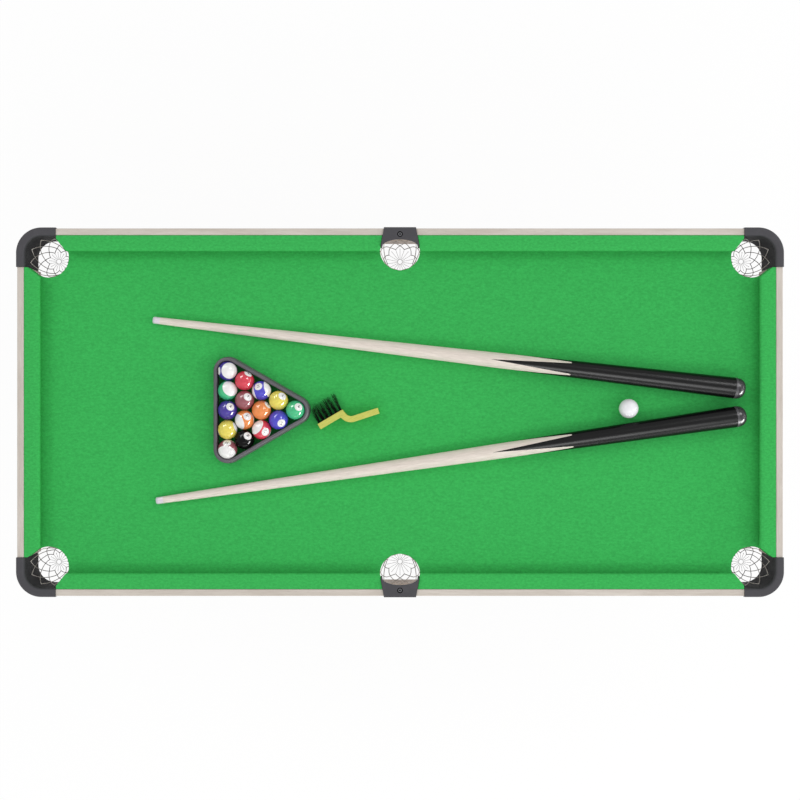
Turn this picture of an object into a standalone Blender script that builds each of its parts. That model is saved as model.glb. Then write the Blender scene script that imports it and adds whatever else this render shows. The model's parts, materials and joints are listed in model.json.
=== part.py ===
"""A home billiard table on folding legs, with the playing set that lies on its cloth.

Metres, +Z up. The origin is on the floor under the middle of the table, +X runs along the table
to its right-hand end and +Y across it to the back.
"""

import math

import bmesh
import bpy
from mathutils import Vector

# Table frame
TABLE_LENGTH = 1.500
TABLE_WIDTH = 0.720
RAIL_HEIGHT = 0.750
APRON_HEIGHT = 0.090
APRON_THICKNESS = 0.018
RAIL_LIP = 0.013
WOOD_EDGE = 0.001

# Clearances between pieces
SEAT_GAP = 0.0003
POST_CLEARANCE = 0.0008

# Bed
BED_DROP = 0.028
CLOTH_THICKNESS = 0.001
BOARD_THICKNESS = 0.012

# Cushions
CUSHION_DEPTH = 0.031
CUSHION_BASE = 0.020
CUSHION_NOSE_HEIGHT = 0.0225
CUSHION_NOSE_ROUND = 0.005

# Pockets
POCKET_RADIUS = 0.0397
POCKET_TO_RAIL = 0.0007
CORNER_JAW_MARGIN = 0.0016
CORNER_JAW_SQUARE = 0.007
SIDE_POCKET_OUTSET = 0.005
POCKET_STEPS = 16
SIDE_POCKET_STEPS = 22

# Corner caps
CAP_PROUD = 0.002
CAP_RISE = 0.003
CAP_PAST_POCKET = 0.0221
CAP_CORNER_RADIUS = 0.050
CAP_OVERHANG = 0.002
CAP_LIP_HEIGHT = 0.005
CAP_EDGE_RADIUS = 0.0025
CAP_CORNER_STEPS = 8
TENON_LENGTH = 0.018
TENON_THICKNESS = 0.006
TENON_HEIGHT = 0.030

# Side caps and their screws
SIDE_CAP_HALF_WIDTH = 0.0314
SIDE_CAP_FLARE = 0.172
SIDE_CAP_TIP_SETBACK = 0.0085
SIDE_CAP_MOUTH_SETBACK = 0.0218
SIDE_CAP_TIP_WIDTH = 0.0033
SIDE_CAP_MOUTH_STEPS = 12
SIDE_CAP_LIP_DROP = 0.014
SIDE_CAP_SKIRT = 0.0025
SIDE_SCREW_INSET = 0.0115
SCREW_HEAD_RADIUS = 0.0045
SCREW_SHANK_RADIUS = 0.0018
SCREW_HEAD_HEIGHT = 0.0018
SCREW_LENGTH = 0.022

# Pocket nets
NET_WALL = 0.002
NET_CLEARANCE = 0.0005
NET_RIM_DROP = 0.002
NET_DEPTH = 0.064
NET_FLOOR_RADIUS = 0.0302
NET_SIDES = 20
NET_LEVELS = ((0.0, 0.0), (0.45, 0.10), (0.80, 0.45), (1.0, 1.0))

# Folding leg frames
PIVOT_DROP = 0.022
PIVOT_RADIUS = 0.008
LEG_TUBE = 0.025
LEG_TUBE_WALL = 0.002
LEG_OFFSET = 0.018
LEG_TO_APRON = 0.0055
LEG_TO_NET = 0.0194
LEG_TOP_ABOVE_PIVOT = 0.010
LEG_BORE_BELOW_PIVOT = 0.020
STRETCHER_THICKNESS = 0.006
STRETCHER_HEIGHT = 0.030

# Leg chassis plates under the bed
CHASSIS_THICKNESS = 0.003
CHASSIS_HALF_WIDTH = 0.020
CHASSIS_SPINE_HALF_WIDTH = 0.014
EAR_THICKNESS = 0.004
EAR_HALF_WIDTH = 0.014
EAR_TO_LEG = 0.0205

# Folding stays
STAY_DROP = 0.280
STAY_INSET = 0.004
STAY_HALF_WIDTH = 0.008
STAY_THICKNESS = 0.003
STAY_CLEARANCE = 0.0015
STAY_PIN_RADIUS = 0.003
RIVET_RADIUS = 0.005
RIVET_HEIGHT = 0.0015

# Levelling feet
FOOT_PAD_RADIUS = 0.016
FOOT_PAD_HEIGHT = 0.008
FOOT_PLUG_LENGTH = 0.030

# Balls and their triangle
BALL_DIAMETER = 0.0381
BALL_GAP = 0.0004
BALL_SUBDIVISIONS = 3
RACK_APEX = (-0.2055, 0.004)
RACK_ORDER = ((12, 14, 4, 9, 15), (3, 7, 13, 8), (10, 5, 11), (1, 2), (6,))
RACK_CLEARANCE = 0.0006
RACK_WALL = 0.0063
RACK_FOOT = 0.0028
RACK_HEIGHT = 0.028
RACK_EDGE = 0.0012
RACK_CORNER_STEPS = 6
CUE_BALL_AT = (0.4496, 0.007)

# Cues, each placed by its butt end (gap to the cushion nose, place across) and its tip's heading
CUE_LENGTH = 1.1738
CUE_BUTT_RADIUS = 0.0208
CUE_TIP_RADIUS = 0.0067
CUE_BUMPER_LENGTH = 0.0225
CUE_BUMPER_SHARES = ((0.0, 0.36), (0.05, 0.48), (0.16, 0.60), (0.38, 0.76), (0.68, 0.89), (1.0, 1.0))
CUE_TIP_LENGTH = 0.004
CUE_TIP_ROUND = 0.0013
CUE_SIDES = 20
CUE_PLACES = ((0.0283, 0.0449, 173.29), (0.0264, -0.0061, 188.30))

# Table brush, lying on its side
BRUSH_TO_RACK = 0.0005
BRUSH_BELOW_APEX = 0.0325
BRUSH_HEADING = 30.5
BRUSH_WIDTH = 0.024
BRUSH_THICKNESS = 0.012
BRUSH_HEAD_LENGTH = 0.0512
BRUSH_STEP_FALL = 80.0
BRUSH_STEP_LENGTH = 0.0187
BRUSH_BEND_RADIUS = 0.019
BRUSH_BEND_STEPS = 4
BRUSH_HANDLE_LENGTH = 0.0636
BRUSH_HANDLE_FALL = 12.4
BRUSH_EDGE = 0.002
BRISTLE_BACKING = 0.0025
BRISTLE_MARGIN = 0.002
BRISTLE_LENGTH = 0.032
BRISTLE_TRIM = 0.005
BRISTLE_TRIM_RUN = 0.010
BRISTLE_COLUMNS = 25
BRISTLE_ROWS = 6
BRISTLE_TIP_SHARE = 0.35
BRISTLE_FAN = 0.04

# Places that follow from the sizes above
HALF_LENGTH = TABLE_LENGTH / 2
HALF_WIDTH = TABLE_WIDTH / 2
LIP_X = HALF_LENGTH - RAIL_LIP
LIP_Y = HALF_WIDTH - RAIL_LIP
NOSE_X = LIP_X - CUSHION_DEPTH
NOSE_Y = LIP_Y - CUSHION_DEPTH
APRON_BOTTOM = RAIL_HEIGHT - APRON_HEIGHT
CLOTH_TOP = RAIL_HEIGHT - BED_DROP
BOARD_TOP = CLOTH_TOP - CLOTH_THICKNESS - SEAT_GAP
BOARD_BOTTOM = BOARD_TOP - BOARD_THICKNESS
LEDGE = BOARD_BOTTOM - SEAT_GAP
CAP_TOP = RAIL_HEIGHT + CAP_RISE
CORNER_POCKET_X = LIP_X - POCKET_TO_RAIL - POCKET_RADIUS
CORNER_POCKET_Y = LIP_Y - POCKET_TO_RAIL - POCKET_RADIUS
SIDE_POCKET_Y = NOSE_Y + SIDE_POCKET_OUTSET
CAP_END_X = CORNER_POCKET_X - CAP_PAST_POCKET
CAP_END_Y = CORNER_POCKET_Y - CAP_PAST_POCKET
ON_CLOTH = CLOTH_TOP + SEAT_GAP
PIVOT_X = HALF_LENGTH - APRON_THICKNESS - LEG_TO_APRON - LEG_TUBE / 2 - LEG_OFFSET
LEG_HALF_SPREAD = CORNER_POCKET_Y - POCKET_RADIUS - LEG_TO_NET - LEG_TUBE / 2
EAR_HALF_SPREAD = LEG_HALF_SPREAD - LEG_TUBE / 2 - EAR_TO_LEG - EAR_THICKNESS / 2
CHASSIS_TOP = BOARD_BOTTOM - SEAT_GAP
CHASSIS_BOTTOM = CHASSIS_TOP - CHASSIS_THICKNESS
PIVOT_Z = BOARD_BOTTOM - PIVOT_DROP
BALL_RADIUS = BALL_DIAMETER / 2

ENDS = (("left", -1), ("right", 1))
SIDES = (("front", -1), ("back", 1))


def clear_scene():
    for obj in list(bpy.data.objects):
        bpy.data.objects.remove(obj)


def material(name, colour, roughness, metallic=0.0):
    made = bpy.data.materials.get(name)
    if made:
        return made
    made = bpy.data.materials.new(name)
    made.use_nodes = True
    shader = made.node_tree.nodes["Principled BSDF"]
    shader.inputs["Base Color"].default_value = (*colour, 1.0)
    shader.inputs["Roughness"].default_value = roughness
    shader.inputs["Metallic"].default_value = metallic
    return made


def green_cloth():
    return material("green_cloth", (0.045, 0.43, 0.095), 0.95)


def pale_wood():
    return material("pale_wood", (0.60, 0.53, 0.47), 0.5)


def dark_plastic():
    return material("dark_plastic", (0.085, 0.083, 0.09), 0.45)


def net_cord():
    return material("net_cord", (0.32, 0.29, 0.28), 0.9)


def black_steel():
    return material("black_steel", (0.02, 0.02, 0.022), 0.4, 0.6)


def zinc_steel():
    return material("zinc_steel", (0.45, 0.45, 0.46), 0.35, 1.0)


def solid(name, form, finish, origin=(0, 0, 0), smooth_angle=None):
    """An object from a (points, faces) form in world places, with its own origin."""
    points, faces = form
    shape = bmesh.new()
    corners = [shape.verts.new(Vector(point) - Vector(origin)) for point in points]
    for face in faces:
        shape.faces.new([corners[i] for i in face])
    bmesh.ops.recalc_face_normals(shape, faces=shape.faces)
    mesh = bpy.data.meshes.new(name)
    shape.to_mesh(mesh)
    shape.free()
    mesh.materials.append(finish)
    if smooth_angle:
        mesh.shade_smooth()
        mesh.set_sharp_from_angle(angle=math.radians(smooth_angle))
    obj = bpy.data.objects.new(name, mesh)
    obj.location = origin
    bpy.context.collection.objects.link(obj)
    return obj


def combine(target, tool, operation):
    """Joins a helper object to the target, or cuts it out, with a Boolean."""
    tool.hide_render = True
    tool.display_type = "WIRE"
    modifier = target.modifiers.new(tool.name, "BOOLEAN")
    modifier.operation = operation
    modifier.object = tool


def soften(obj, width, segments=1):
    modifier = obj.modifiers.new("edges", "BEVEL")
    modifier.width = width
    modifier.segments = segments
    modifier.limit_method = "ANGLE"
    modifier.angle_limit = math.radians(40)


def loft(rings, closed=False):
    """A form through rings of equally many points: capped at its ends, or closed on itself."""
    size = len(rings[0])
    points = [point for ring in rings for point in ring]
    faces = []
    for k in range(len(rings) if closed else len(rings) - 1):
        here = k * size
        there = (k + 1) % len(rings) * size
        for i in range(size):
            j = (i + 1) % size
            faces.append((here + i, here + j, there + j, there + i))
    if not closed:
        faces.append(tuple(range(size)))
        faces.append(tuple(range(len(points) - size, len(points))))
    return points, faces


def prism(outline, low, high):
    """An outline in X and Y, raised from one height to another."""
    return loft([[(x, y, z) for x, y in outline] for z in (low, high)])


def upright(outline, front, back):
    """An outline in X and Z, run from one Y to another."""
    return loft([[(x, y, z) for x, z in outline] for y in (front, back)])


def block(low, high):
    outline = ((low[0], low[1]), (high[0], low[1]), (high[0], high[1]), (low[0], high[1]))
    return prism(outline, low[2], high[2])


def arc(centre, radius, start, end, steps):
    """Points on an arc between two angles in degrees, both ends included."""
    angles = [math.radians(start + (end - start) * i / steps) for i in range(steps + 1)]
    return [(centre[0] + radius * math.cos(a), centre[1] + radius * math.sin(a)) for a in angles]


def circle(centre, radius, sides):
    return arc(centre, radius, 0, 360, sides)[:-1]


def turned(profile, sides, at=(0, 0, 0)):
    """A solid turned about a vertical axis, from (radius, height) pairs."""
    rings = []
    for radius, height in profile:
        ring = circle(at[:2], radius, sides)
        rings.append([(x, y, at[2] + height) for x, y in ring])
    return loft(rings)


def round_bar(x, z, radius, front, back, sides=12):
    """A cylinder along Y."""
    return upright(circle((x, z), radius, sides), front, back)


def place(sign_x, sign_y):
    """A function that moves a point of the back right quarter to another quarter."""
    return lambda p: (sign_x * p[0], sign_y * p[1], *p[2:])


def moved(form, change):
    points, faces = form
    return [change(point) for point in points], faces


def bed_outline():
    """The bed between the rail lips, with a slot at each corner pocket and a notch at each side pocket.

    A slot runs from the ends of a corner cap, straight to where it meets the pocket's circle.
    """
    edge_x = LIP_X - SEAT_GAP
    edge_y = LIP_Y - SEAT_GAP
    x, y = CORNER_POCKET_X, CORNER_POCKET_Y
    reach = Vector((edge_x - x, CAP_END_Y - y))
    bearing = math.degrees(math.atan2(reach.y, reach.x))
    start = bearing - math.degrees(math.acos(POCKET_RADIUS / reach.length))
    bend = arc((x, y), POCKET_RADIUS, start, -270 - start, POCKET_STEPS)
    corner = [(edge_x, CAP_END_Y), *bend, (CAP_END_X, edge_y)]
    rise = math.degrees(math.asin((edge_y - SIDE_POCKET_Y) / POCKET_RADIUS))
    notch = arc((0, SIDE_POCKET_Y), POCKET_RADIUS, rise, -180 - rise, SIDE_POCKET_STEPS)
    back_left = [(-px, py) for px, py in reversed(corner)]
    back = corner + notch + back_left
    return back + [(-px, -py) for px, py in back]


def make_bed():
    outline = bed_outline()
    solid("playfield_board", prism(outline, BOARD_BOTTOM, BOARD_TOP), pale_wood())
    solid("playing_cloth", prism(outline, CLOTH_TOP - CLOTH_THICKNESS, CLOTH_TOP), green_cloth())


def tenon(clearance=0.0):
    """Half-thickness, bottom and top of the tongue between a corner cap and an apron."""
    bottom = (APRON_BOTTOM + LEDGE - TENON_HEIGHT) / 2
    return TENON_THICKNESS / 2 + clearance, bottom - clearance, bottom + TENON_HEIGHT + clearance


def apron_form(half_run, half_span, along_y):
    """A rabbeted board: the bed rests on its ledge, and the lip above shows as the rail's wood."""
    edge = WOOD_EDGE
    section = (
        (half_span - edge, APRON_BOTTOM),
        (half_span - APRON_THICKNESS, APRON_BOTTOM),
        (half_span - APRON_THICKNESS, LEDGE),
        (half_span - RAIL_LIP, LEDGE),
        (half_span - RAIL_LIP, RAIL_HEIGHT - edge),
        (half_span - RAIL_LIP + edge, RAIL_HEIGHT),
        (half_span - edge, RAIL_HEIGHT),
        (half_span, RAIL_HEIGHT - edge),
        (half_span, APRON_BOTTOM + edge),
    )
    if along_y:
        rings = [[(out, run, z) for out, z in section] for run in (-half_run, half_run)]
    else:
        rings = [[(run, out, z) for out, z in section] for run in (-half_run, half_run)]
    return loft(rings)


def cut_mortises(apron, half_run, middle, along_y):
    half, bottom, top = tenon(SEAT_GAP)
    depth = half_run - TENON_LENGTH - SEAT_GAP
    for sign in (-1, 1):
        run = sorted((sign * depth, sign * (half_run + TENON_LENGTH)))
        low = (middle - half, run[0], bottom) if along_y else (run[0], middle - half, bottom)
        high = (middle + half, run[1], top) if along_y else (run[1], middle + half, top)
        name = f"{apron.name}_mortise_{'low' if sign < 0 else 'high'}"
        combine(apron, solid(name, block(low, high), pale_wood()), "DIFFERENCE")


def pocket_post_half_width():
    """Half the stretch at a side pocket where the apron keeps its full thickness up to the rail."""
    reach = LIP_Y - SEAT_GAP - SIDE_POCKET_Y
    notch = math.sqrt(POCKET_RADIUS**2 - reach**2)
    between_skirts = side_cap_half_width(LIP_Y) - SIDE_CAP_SKIRT
    return min(notch, between_skirts) - POST_CLEARANCE


def make_aprons():
    long_run = CAP_END_X - SEAT_GAP
    short_run = CAP_END_Y - SEAT_GAP
    for name, sign in SIDES:
        form = moved(apron_form(long_run, HALF_WIDTH, False), place(1, sign))
        apron = solid(f"apron_{name}", form, pale_wood())
        half = pocket_post_half_width()
        inner = HALF_WIDTH - APRON_THICKNESS
        within_lip = HALF_WIDTH - RAIL_LIP / 2
        within_board = LEDGE - RAIL_LIP / 2
        post = block((-half, inner, within_board), (half, within_lip, RAIL_HEIGHT))
        helper = solid(f"apron_{name}_post", moved(post, place(1, sign)), pale_wood())
        combine(apron, helper, "UNION")
        cut_mortises(apron, long_run, sign * (HALF_WIDTH - RAIL_LIP / 2), False)
        pilot = screw_form(SEAT_GAP)
        hole = solid(f"apron_{name}_pilot", moved(pilot, place(1, sign)), pale_wood())
        combine(apron, hole, "DIFFERENCE")
    for name, sign in ENDS:
        form = moved(apron_form(short_run, HALF_LENGTH, True), place(sign, 1))
        apron = solid(f"apron_{name}", form, pale_wood())
        cut_mortises(apron, short_run, sign * (HALF_LENGTH - RAIL_LIP / 2), True)


def cushion_section():
    """Cushion points as (distance from the rail lip, height): flat top, round nose, undercut."""
    nose = CLOTH_TOP + CUSHION_NOSE_HEIGHT
    r = CUSHION_NOSE_ROUND
    crown = arc((CUSHION_DEPTH - r, nose), r, -30, 60, 4)
    return [
        (SEAT_GAP, ON_CLOTH),
        (CORNER_JAW_SQUARE, ON_CLOTH),
        (CUSHION_BASE, ON_CLOTH),
        *crown,
        (CUSHION_DEPTH - 2 * r, RAIL_HEIGHT),
        (CORNER_JAW_SQUARE, RAIL_HEIGHT),
        (SEAT_GAP, RAIL_HEIGHT),
    ]


def cushion_form(start, end, lip, along_y):
    """A cushion with (back, nose, square) ends: cut square to that depth, then slanting to the nose."""
    rings = []
    for back, nose, square in (start, end):
        ring = []
        for depth, z in cushion_section():
            run = back + (nose - back) * max(0.0, depth - square) / (CUSHION_DEPTH - square)
            out = lip - depth
            ring.append((out, run, z) if along_y else (run, out, z))
        rings.append(ring)
    points, faces = loft(rings)
    size = len(rings[0])
    del faces[-2:]
    for base in (0, size):
        faces.append((base, base + 1, base + size - 2, base + size - 1))
        faces.append(tuple(range(base + 1, base + size - 1)))
    return points, faces


def side_cap_half_width(y):
    return SIDE_CAP_HALF_WIDTH + SIDE_CAP_FLARE * (HALF_WIDTH + CAP_PROUD - y)


def make_cushions():
    inner = (side_cap_half_width(LIP_Y) + SEAT_GAP, side_cap_half_width(NOSE_Y) + SEAT_GAP, 0.0)
    jaw = POCKET_RADIUS + CORNER_JAW_MARGIN
    outer = (CAP_END_X - SEAT_GAP, CORNER_POCKET_X - jaw, CORNER_JAW_SQUARE)
    for side, sign_y in SIDES:
        for end, sign_x in ENDS:
            form = moved(cushion_form(inner, outer, LIP_Y, False), place(sign_x, sign_y))
            solid(f"cushion_{side}_{end}", form, green_cloth(), smooth_angle=35)
    reach = (CAP_END_Y - SEAT_GAP, CORNER_POCKET_Y - jaw, CORNER_JAW_SQUARE)
    back_reach = (-reach[0], -reach[1], CORNER_JAW_SQUARE)
    for end, sign_x in ENDS:
        form = moved(cushion_form(back_reach, reach, LIP_X, True), place(sign_x, 1))
        solid(f"cushion_{end}", form, green_cloth(), smooth_angle=35)


def cap_section():
    """Corner cap points as (distance in from its outer face, height): a wall under a rounded band."""
    wall = RAIL_LIP + CAP_PROUD
    band = wall + CAP_OVERHANG
    r = CAP_EDGE_RADIUS
    inner_edge = arc((band - r, CAP_TOP - r), r, 0, 90, 3)
    outer_edge = arc((r, CAP_TOP - r), r, 90, 180, 3)
    return [
        (0, APRON_BOTTOM),
        (wall, APRON_BOTTOM),
        (wall, CAP_TOP - CAP_LIP_HEIGHT - CAP_OVERHANG),
        (band, CAP_TOP - CAP_LIP_HEIGHT),
        *inner_edge,
        *outer_edge,
    ]


def corner_cap_form():
    """The back right cap: its section run along one arm, round the corner and along the other."""
    out_x = HALF_LENGTH + CAP_PROUD
    out_y = HALF_WIDTH + CAP_PROUD
    middle = (out_x - CAP_CORNER_RADIUS, out_y - CAP_CORNER_RADIUS)
    stations = [((CAP_END_X, out_y), 90)]
    for i in range(CAP_CORNER_STEPS + 1):
        angle = 90 - 90 * i / CAP_CORNER_STEPS
        stations.append((arc(middle, CAP_CORNER_RADIUS, angle, angle, 1)[0], angle))
    stations.append(((out_x, CAP_END_Y), 0))
    rings = []
    for (x, y), angle in stations:
        outward = (math.cos(math.radians(angle)), math.sin(math.radians(angle)))
        rings.append([(x - n * outward[0], y - n * outward[1], z) for n, z in cap_section()])
    return loft(rings)


def cap_tongues():
    """The two tongues of the back right cap, sunk into the cap as far as they stand out of it."""
    half, bottom, top = tenon()
    mid_x = HALF_LENGTH - RAIL_LIP / 2
    mid_y = HALF_WIDTH - RAIL_LIP / 2
    reach = TENON_LENGTH
    return (
        block((CAP_END_X - reach, mid_y - half, bottom), (CAP_END_X + reach, mid_y + half, top)),
        block((mid_x - half, CAP_END_Y - reach, bottom), (mid_x + half, CAP_END_Y + reach, top)),
    )


def make_corner_caps():
    for side, sign_y in SIDES:
        for end, sign_x in ENDS:
            quarter = place(sign_x, sign_y)
            name = f"corner_cap_{side}_{end}"
            cap = solid(name, moved(corner_cap_form(), quarter), dark_plastic(), smooth_angle=40)
            for number, form in enumerate(cap_tongues(), 1):
                tongue = solid(f"{name}_tongue_{number}", moved(form, quarter), dark_plastic())
                combine(cap, tongue, "UNION")


def screw_form(clearance=0.0):
    """The screw of the back side cap, or with a clearance the hole that takes it."""
    head = SCREW_HEAD_RADIUS + clearance
    shank = SCREW_SHANK_RADIUS + clearance
    rim = -2 * SEAT_GAP
    profile = (
        (head, SCREW_HEAD_HEIGHT if clearance else -SEAT_GAP),
        (head, rim),
        (shank, rim - SCREW_HEAD_HEIGHT),
        (shank, -SCREW_LENGTH - clearance),
    )
    return turned(profile, 16, (0, HALF_WIDTH - SIDE_SCREW_INSET, CAP_TOP))


def side_cap_outline():
    """The back side cap seen from above: a flared plate with a hollow mouth over the pocket."""
    out_y = HALF_WIDTH + CAP_PROUD
    tip_y = NOSE_Y + SIDE_CAP_TIP_SETBACK
    tip = side_cap_half_width(tip_y)
    rise = HALF_WIDTH - SIDE_CAP_MOUTH_SETBACK - tip_y
    half = tip - SIDE_CAP_TIP_WIDTH
    mouth = [(half * c, tip_y + rise * s) for c, s in arc((0, 0), 1, 180, 0, SIDE_CAP_MOUTH_STEPS)]
    corners = [(tip, tip_y), (SIDE_CAP_HALF_WIDTH, out_y), (-SIDE_CAP_HALF_WIDTH, out_y), (-tip, tip_y)]
    return mouth + corners


def side_cap_skirts():
    """Outlines of the two cheeks that close the cushion ends beside the back side pocket."""
    low_y = NOSE_Y + SIDE_CAP_TIP_SETBACK
    high_y = LIP_Y - SEAT_GAP
    low = side_cap_half_width(low_y)
    high = side_cap_half_width(high_y)
    right = ((low - SIDE_CAP_SKIRT, low_y), (low, low_y), (high, high_y), (high - SIDE_CAP_SKIRT, high_y))
    return right, tuple((-x, y) for x, y in right)


def make_side_caps():
    plate_bottom = RAIL_HEIGHT + SEAT_GAP
    within_plate = (plate_bottom + CAP_TOP) / 2
    for side, sign in SIDES:
        name = f"side_cap_{side}"
        mirror = place(1, sign)
        cap = solid(name, moved(prism(side_cap_outline(), plate_bottom, CAP_TOP), mirror), dark_plastic())
        lip = block(
            (-SIDE_CAP_HALF_WIDTH, HALF_WIDTH + SEAT_GAP, RAIL_HEIGHT - SIDE_CAP_LIP_DROP),
            (SIDE_CAP_HALF_WIDTH, HALF_WIDTH + CAP_PROUD, within_plate),
        )
        combine(cap, solid(f"{name}_lip", moved(lip, mirror), dark_plastic()), "UNION")
        for number, outline in enumerate(side_cap_skirts(), 1):
            skirt = moved(prism(outline, ON_CLOTH, within_plate), mirror)
            combine(cap, solid(f"{name}_skirt_{number}", skirt, dark_plastic()), "UNION")
        hole = solid(f"{name}_hole", moved(screw_form(SEAT_GAP), mirror), dark_plastic())
        combine(cap, hole, "DIFFERENCE")
        solid(f"side_cap_screw_{side}", moved(screw_form(), mirror), zinc_steel(), smooth_angle=40)


def side_net_rim(angle):
    """Distance from the middle of the back side net to the pocket's edge or the apron."""
    radius = POCKET_RADIUS - NET_CLEARANCE
    wall = HALF_WIDTH - APRON_THICKNESS - NET_CLEARANCE
    rise = side_net_middle() - SIDE_POCKET_Y
    along = rise * math.sin(angle)
    to_edge = -along + math.sqrt(along**2 + radius**2 - rise**2)
    if math.sin(angle) <= 0:
        return to_edge
    return min(to_edge, (wall - side_net_middle()) / math.sin(angle))


def side_net_middle():
    front = SIDE_POCKET_Y - POCKET_RADIUS
    return (front + HALF_WIDTH - APRON_THICKNESS) / 2


def corner_net_rim(_angle):
    return POCKET_RADIUS - NET_CLEARANCE


def net_form(middle, rim):
    """A thin bag: its rim follows the pocket, its sides draw in to a round floor."""
    top = BOARD_TOP - NET_RIM_DROP
    angles = [2 * math.pi * i / NET_SIDES for i in range(NET_SIDES)]

    def ring(share, gather, wall):
        points = []
        z = top - share * NET_DEPTH + (wall if share == 1.0 else 0.0)
        for angle in angles:
            edge = rim(angle)
            distance = edge + (min(edge, NET_FLOOR_RADIUS) - edge) * gather - wall
            points.append((middle[0] + distance * math.cos(angle), middle[1] + distance * math.sin(angle), z))
        return points

    inside = [ring(share, gather, NET_WALL) for share, gather in reversed(NET_LEVELS)]
    outside = [ring(share, gather, 0.0) for share, gather in NET_LEVELS]
    return loft(inside + outside)


def make_nets():
    side_middle = (0, side_net_middle())
    for side, sign_y in SIDES:
        form = moved(net_form(side_middle, side_net_rim), place(1, sign_y))
        solid(f"pocket_net_{side}", form, net_cord(), smooth_angle=40)
        for end, sign_x in ENDS:
            corner_net = net_form((CORNER_POCKET_X, CORNER_POCKET_Y), corner_net_rim)
            form = moved(corner_net, place(sign_x, sign_y))
            solid(f"pocket_net_{side}_{end}", form, net_cord(), smooth_angle=40)


def stay_points():
    """(x, z) of the right-hand stay's bed pivot, leg pivot and straightened knee."""
    bed = (PIVOT_X - STAY_DROP, CHASSIS_BOTTOM - STAY_HALF_WIDTH - STAY_CLEARANCE)
    leg = (PIVOT_X - STAY_INSET, PIVOT_Z - STAY_DROP)
    knee = ((bed[0] + leg[0]) / 2, (bed[1] + leg[1]) / 2)
    return bed, leg, knee


def bar_outline(start, end, half_width):
    """A flat bar with round ends, seen from its side."""
    heading = math.degrees(math.atan2(end[1] - start[1], end[0] - start[0]))
    far = arc(end, half_width, heading - 90, heading + 90, 6)
    near = arc(start, half_width, heading + 90, heading + 270, 6)
    return far + near


def make_chassis(end, sign):
    """A steel plate under the bed, with two ears for the leg pivot and one for the stay."""
    mirror = place(sign, 1)
    bed, _, _ = stay_points()
    name = f"leg_chassis_{end}"
    reach = EAR_HALF_SPREAD + CHASSIS_HALF_WIDTH
    plate = block(
        (PIVOT_X - CHASSIS_HALF_WIDTH, -reach, CHASSIS_BOTTOM),
        (PIVOT_X + CHASSIS_HALF_WIDTH, reach, CHASSIS_TOP),
    )
    chassis = solid(name, moved(plate, mirror), black_steel())
    spine = block(
        (bed[0] - CHASSIS_HALF_WIDTH, -CHASSIS_SPINE_HALF_WIDTH, CHASSIS_BOTTOM),
        (PIVOT_X, CHASSIS_SPINE_HALF_WIDTH, CHASSIS_TOP),
    )
    combine(chassis, solid(f"{name}_spine", moved(spine, mirror), black_steel()), "UNION")
    within_plate = (CHASSIS_BOTTOM + CHASSIS_TOP) / 2
    for number, y in enumerate((-EAR_HALF_SPREAD, EAR_HALF_SPREAD), 1):
        pivot = (PIVOT_X, PIVOT_Z)
        shape = bar_outline(pivot, (PIVOT_X, within_plate - EAR_HALF_WIDTH), EAR_HALF_WIDTH)
        ear = upright(shape, y - EAR_THICKNESS / 2, y + EAR_THICKNESS / 2)
        combine(chassis, solid(f"{name}_ear_{number}", moved(ear, mirror), black_steel()), "UNION")
        hole = round_bar(*pivot, PIVOT_RADIUS + SEAT_GAP, y - EAR_THICKNESS, y + EAR_THICKNESS)
        combine(chassis, solid(f"{name}_hole_{number}", moved(hole, mirror), black_steel()), "DIFFERENCE")
    front = -SEAT_GAP * 1.5 - 2 * STAY_THICKNESS
    tab = block(
        (bed[0] - STAY_HALF_WIDTH, front, bed[1] - STAY_HALF_WIDTH),
        (bed[0] + STAY_HALF_WIDTH, front + STAY_THICKNESS, within_plate),
    )
    combine(chassis, solid(f"{name}_tab", moved(tab, mirror), black_steel()), "UNION")
    bore = round_bar(*bed, STAY_PIN_RADIUS + SEAT_GAP, front - STAY_THICKNESS, front + 2 * STAY_THICKNESS)
    combine(chassis, solid(f"{name}_bore", moved(bore, mirror), black_steel()), "DIFFERENCE")


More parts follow.
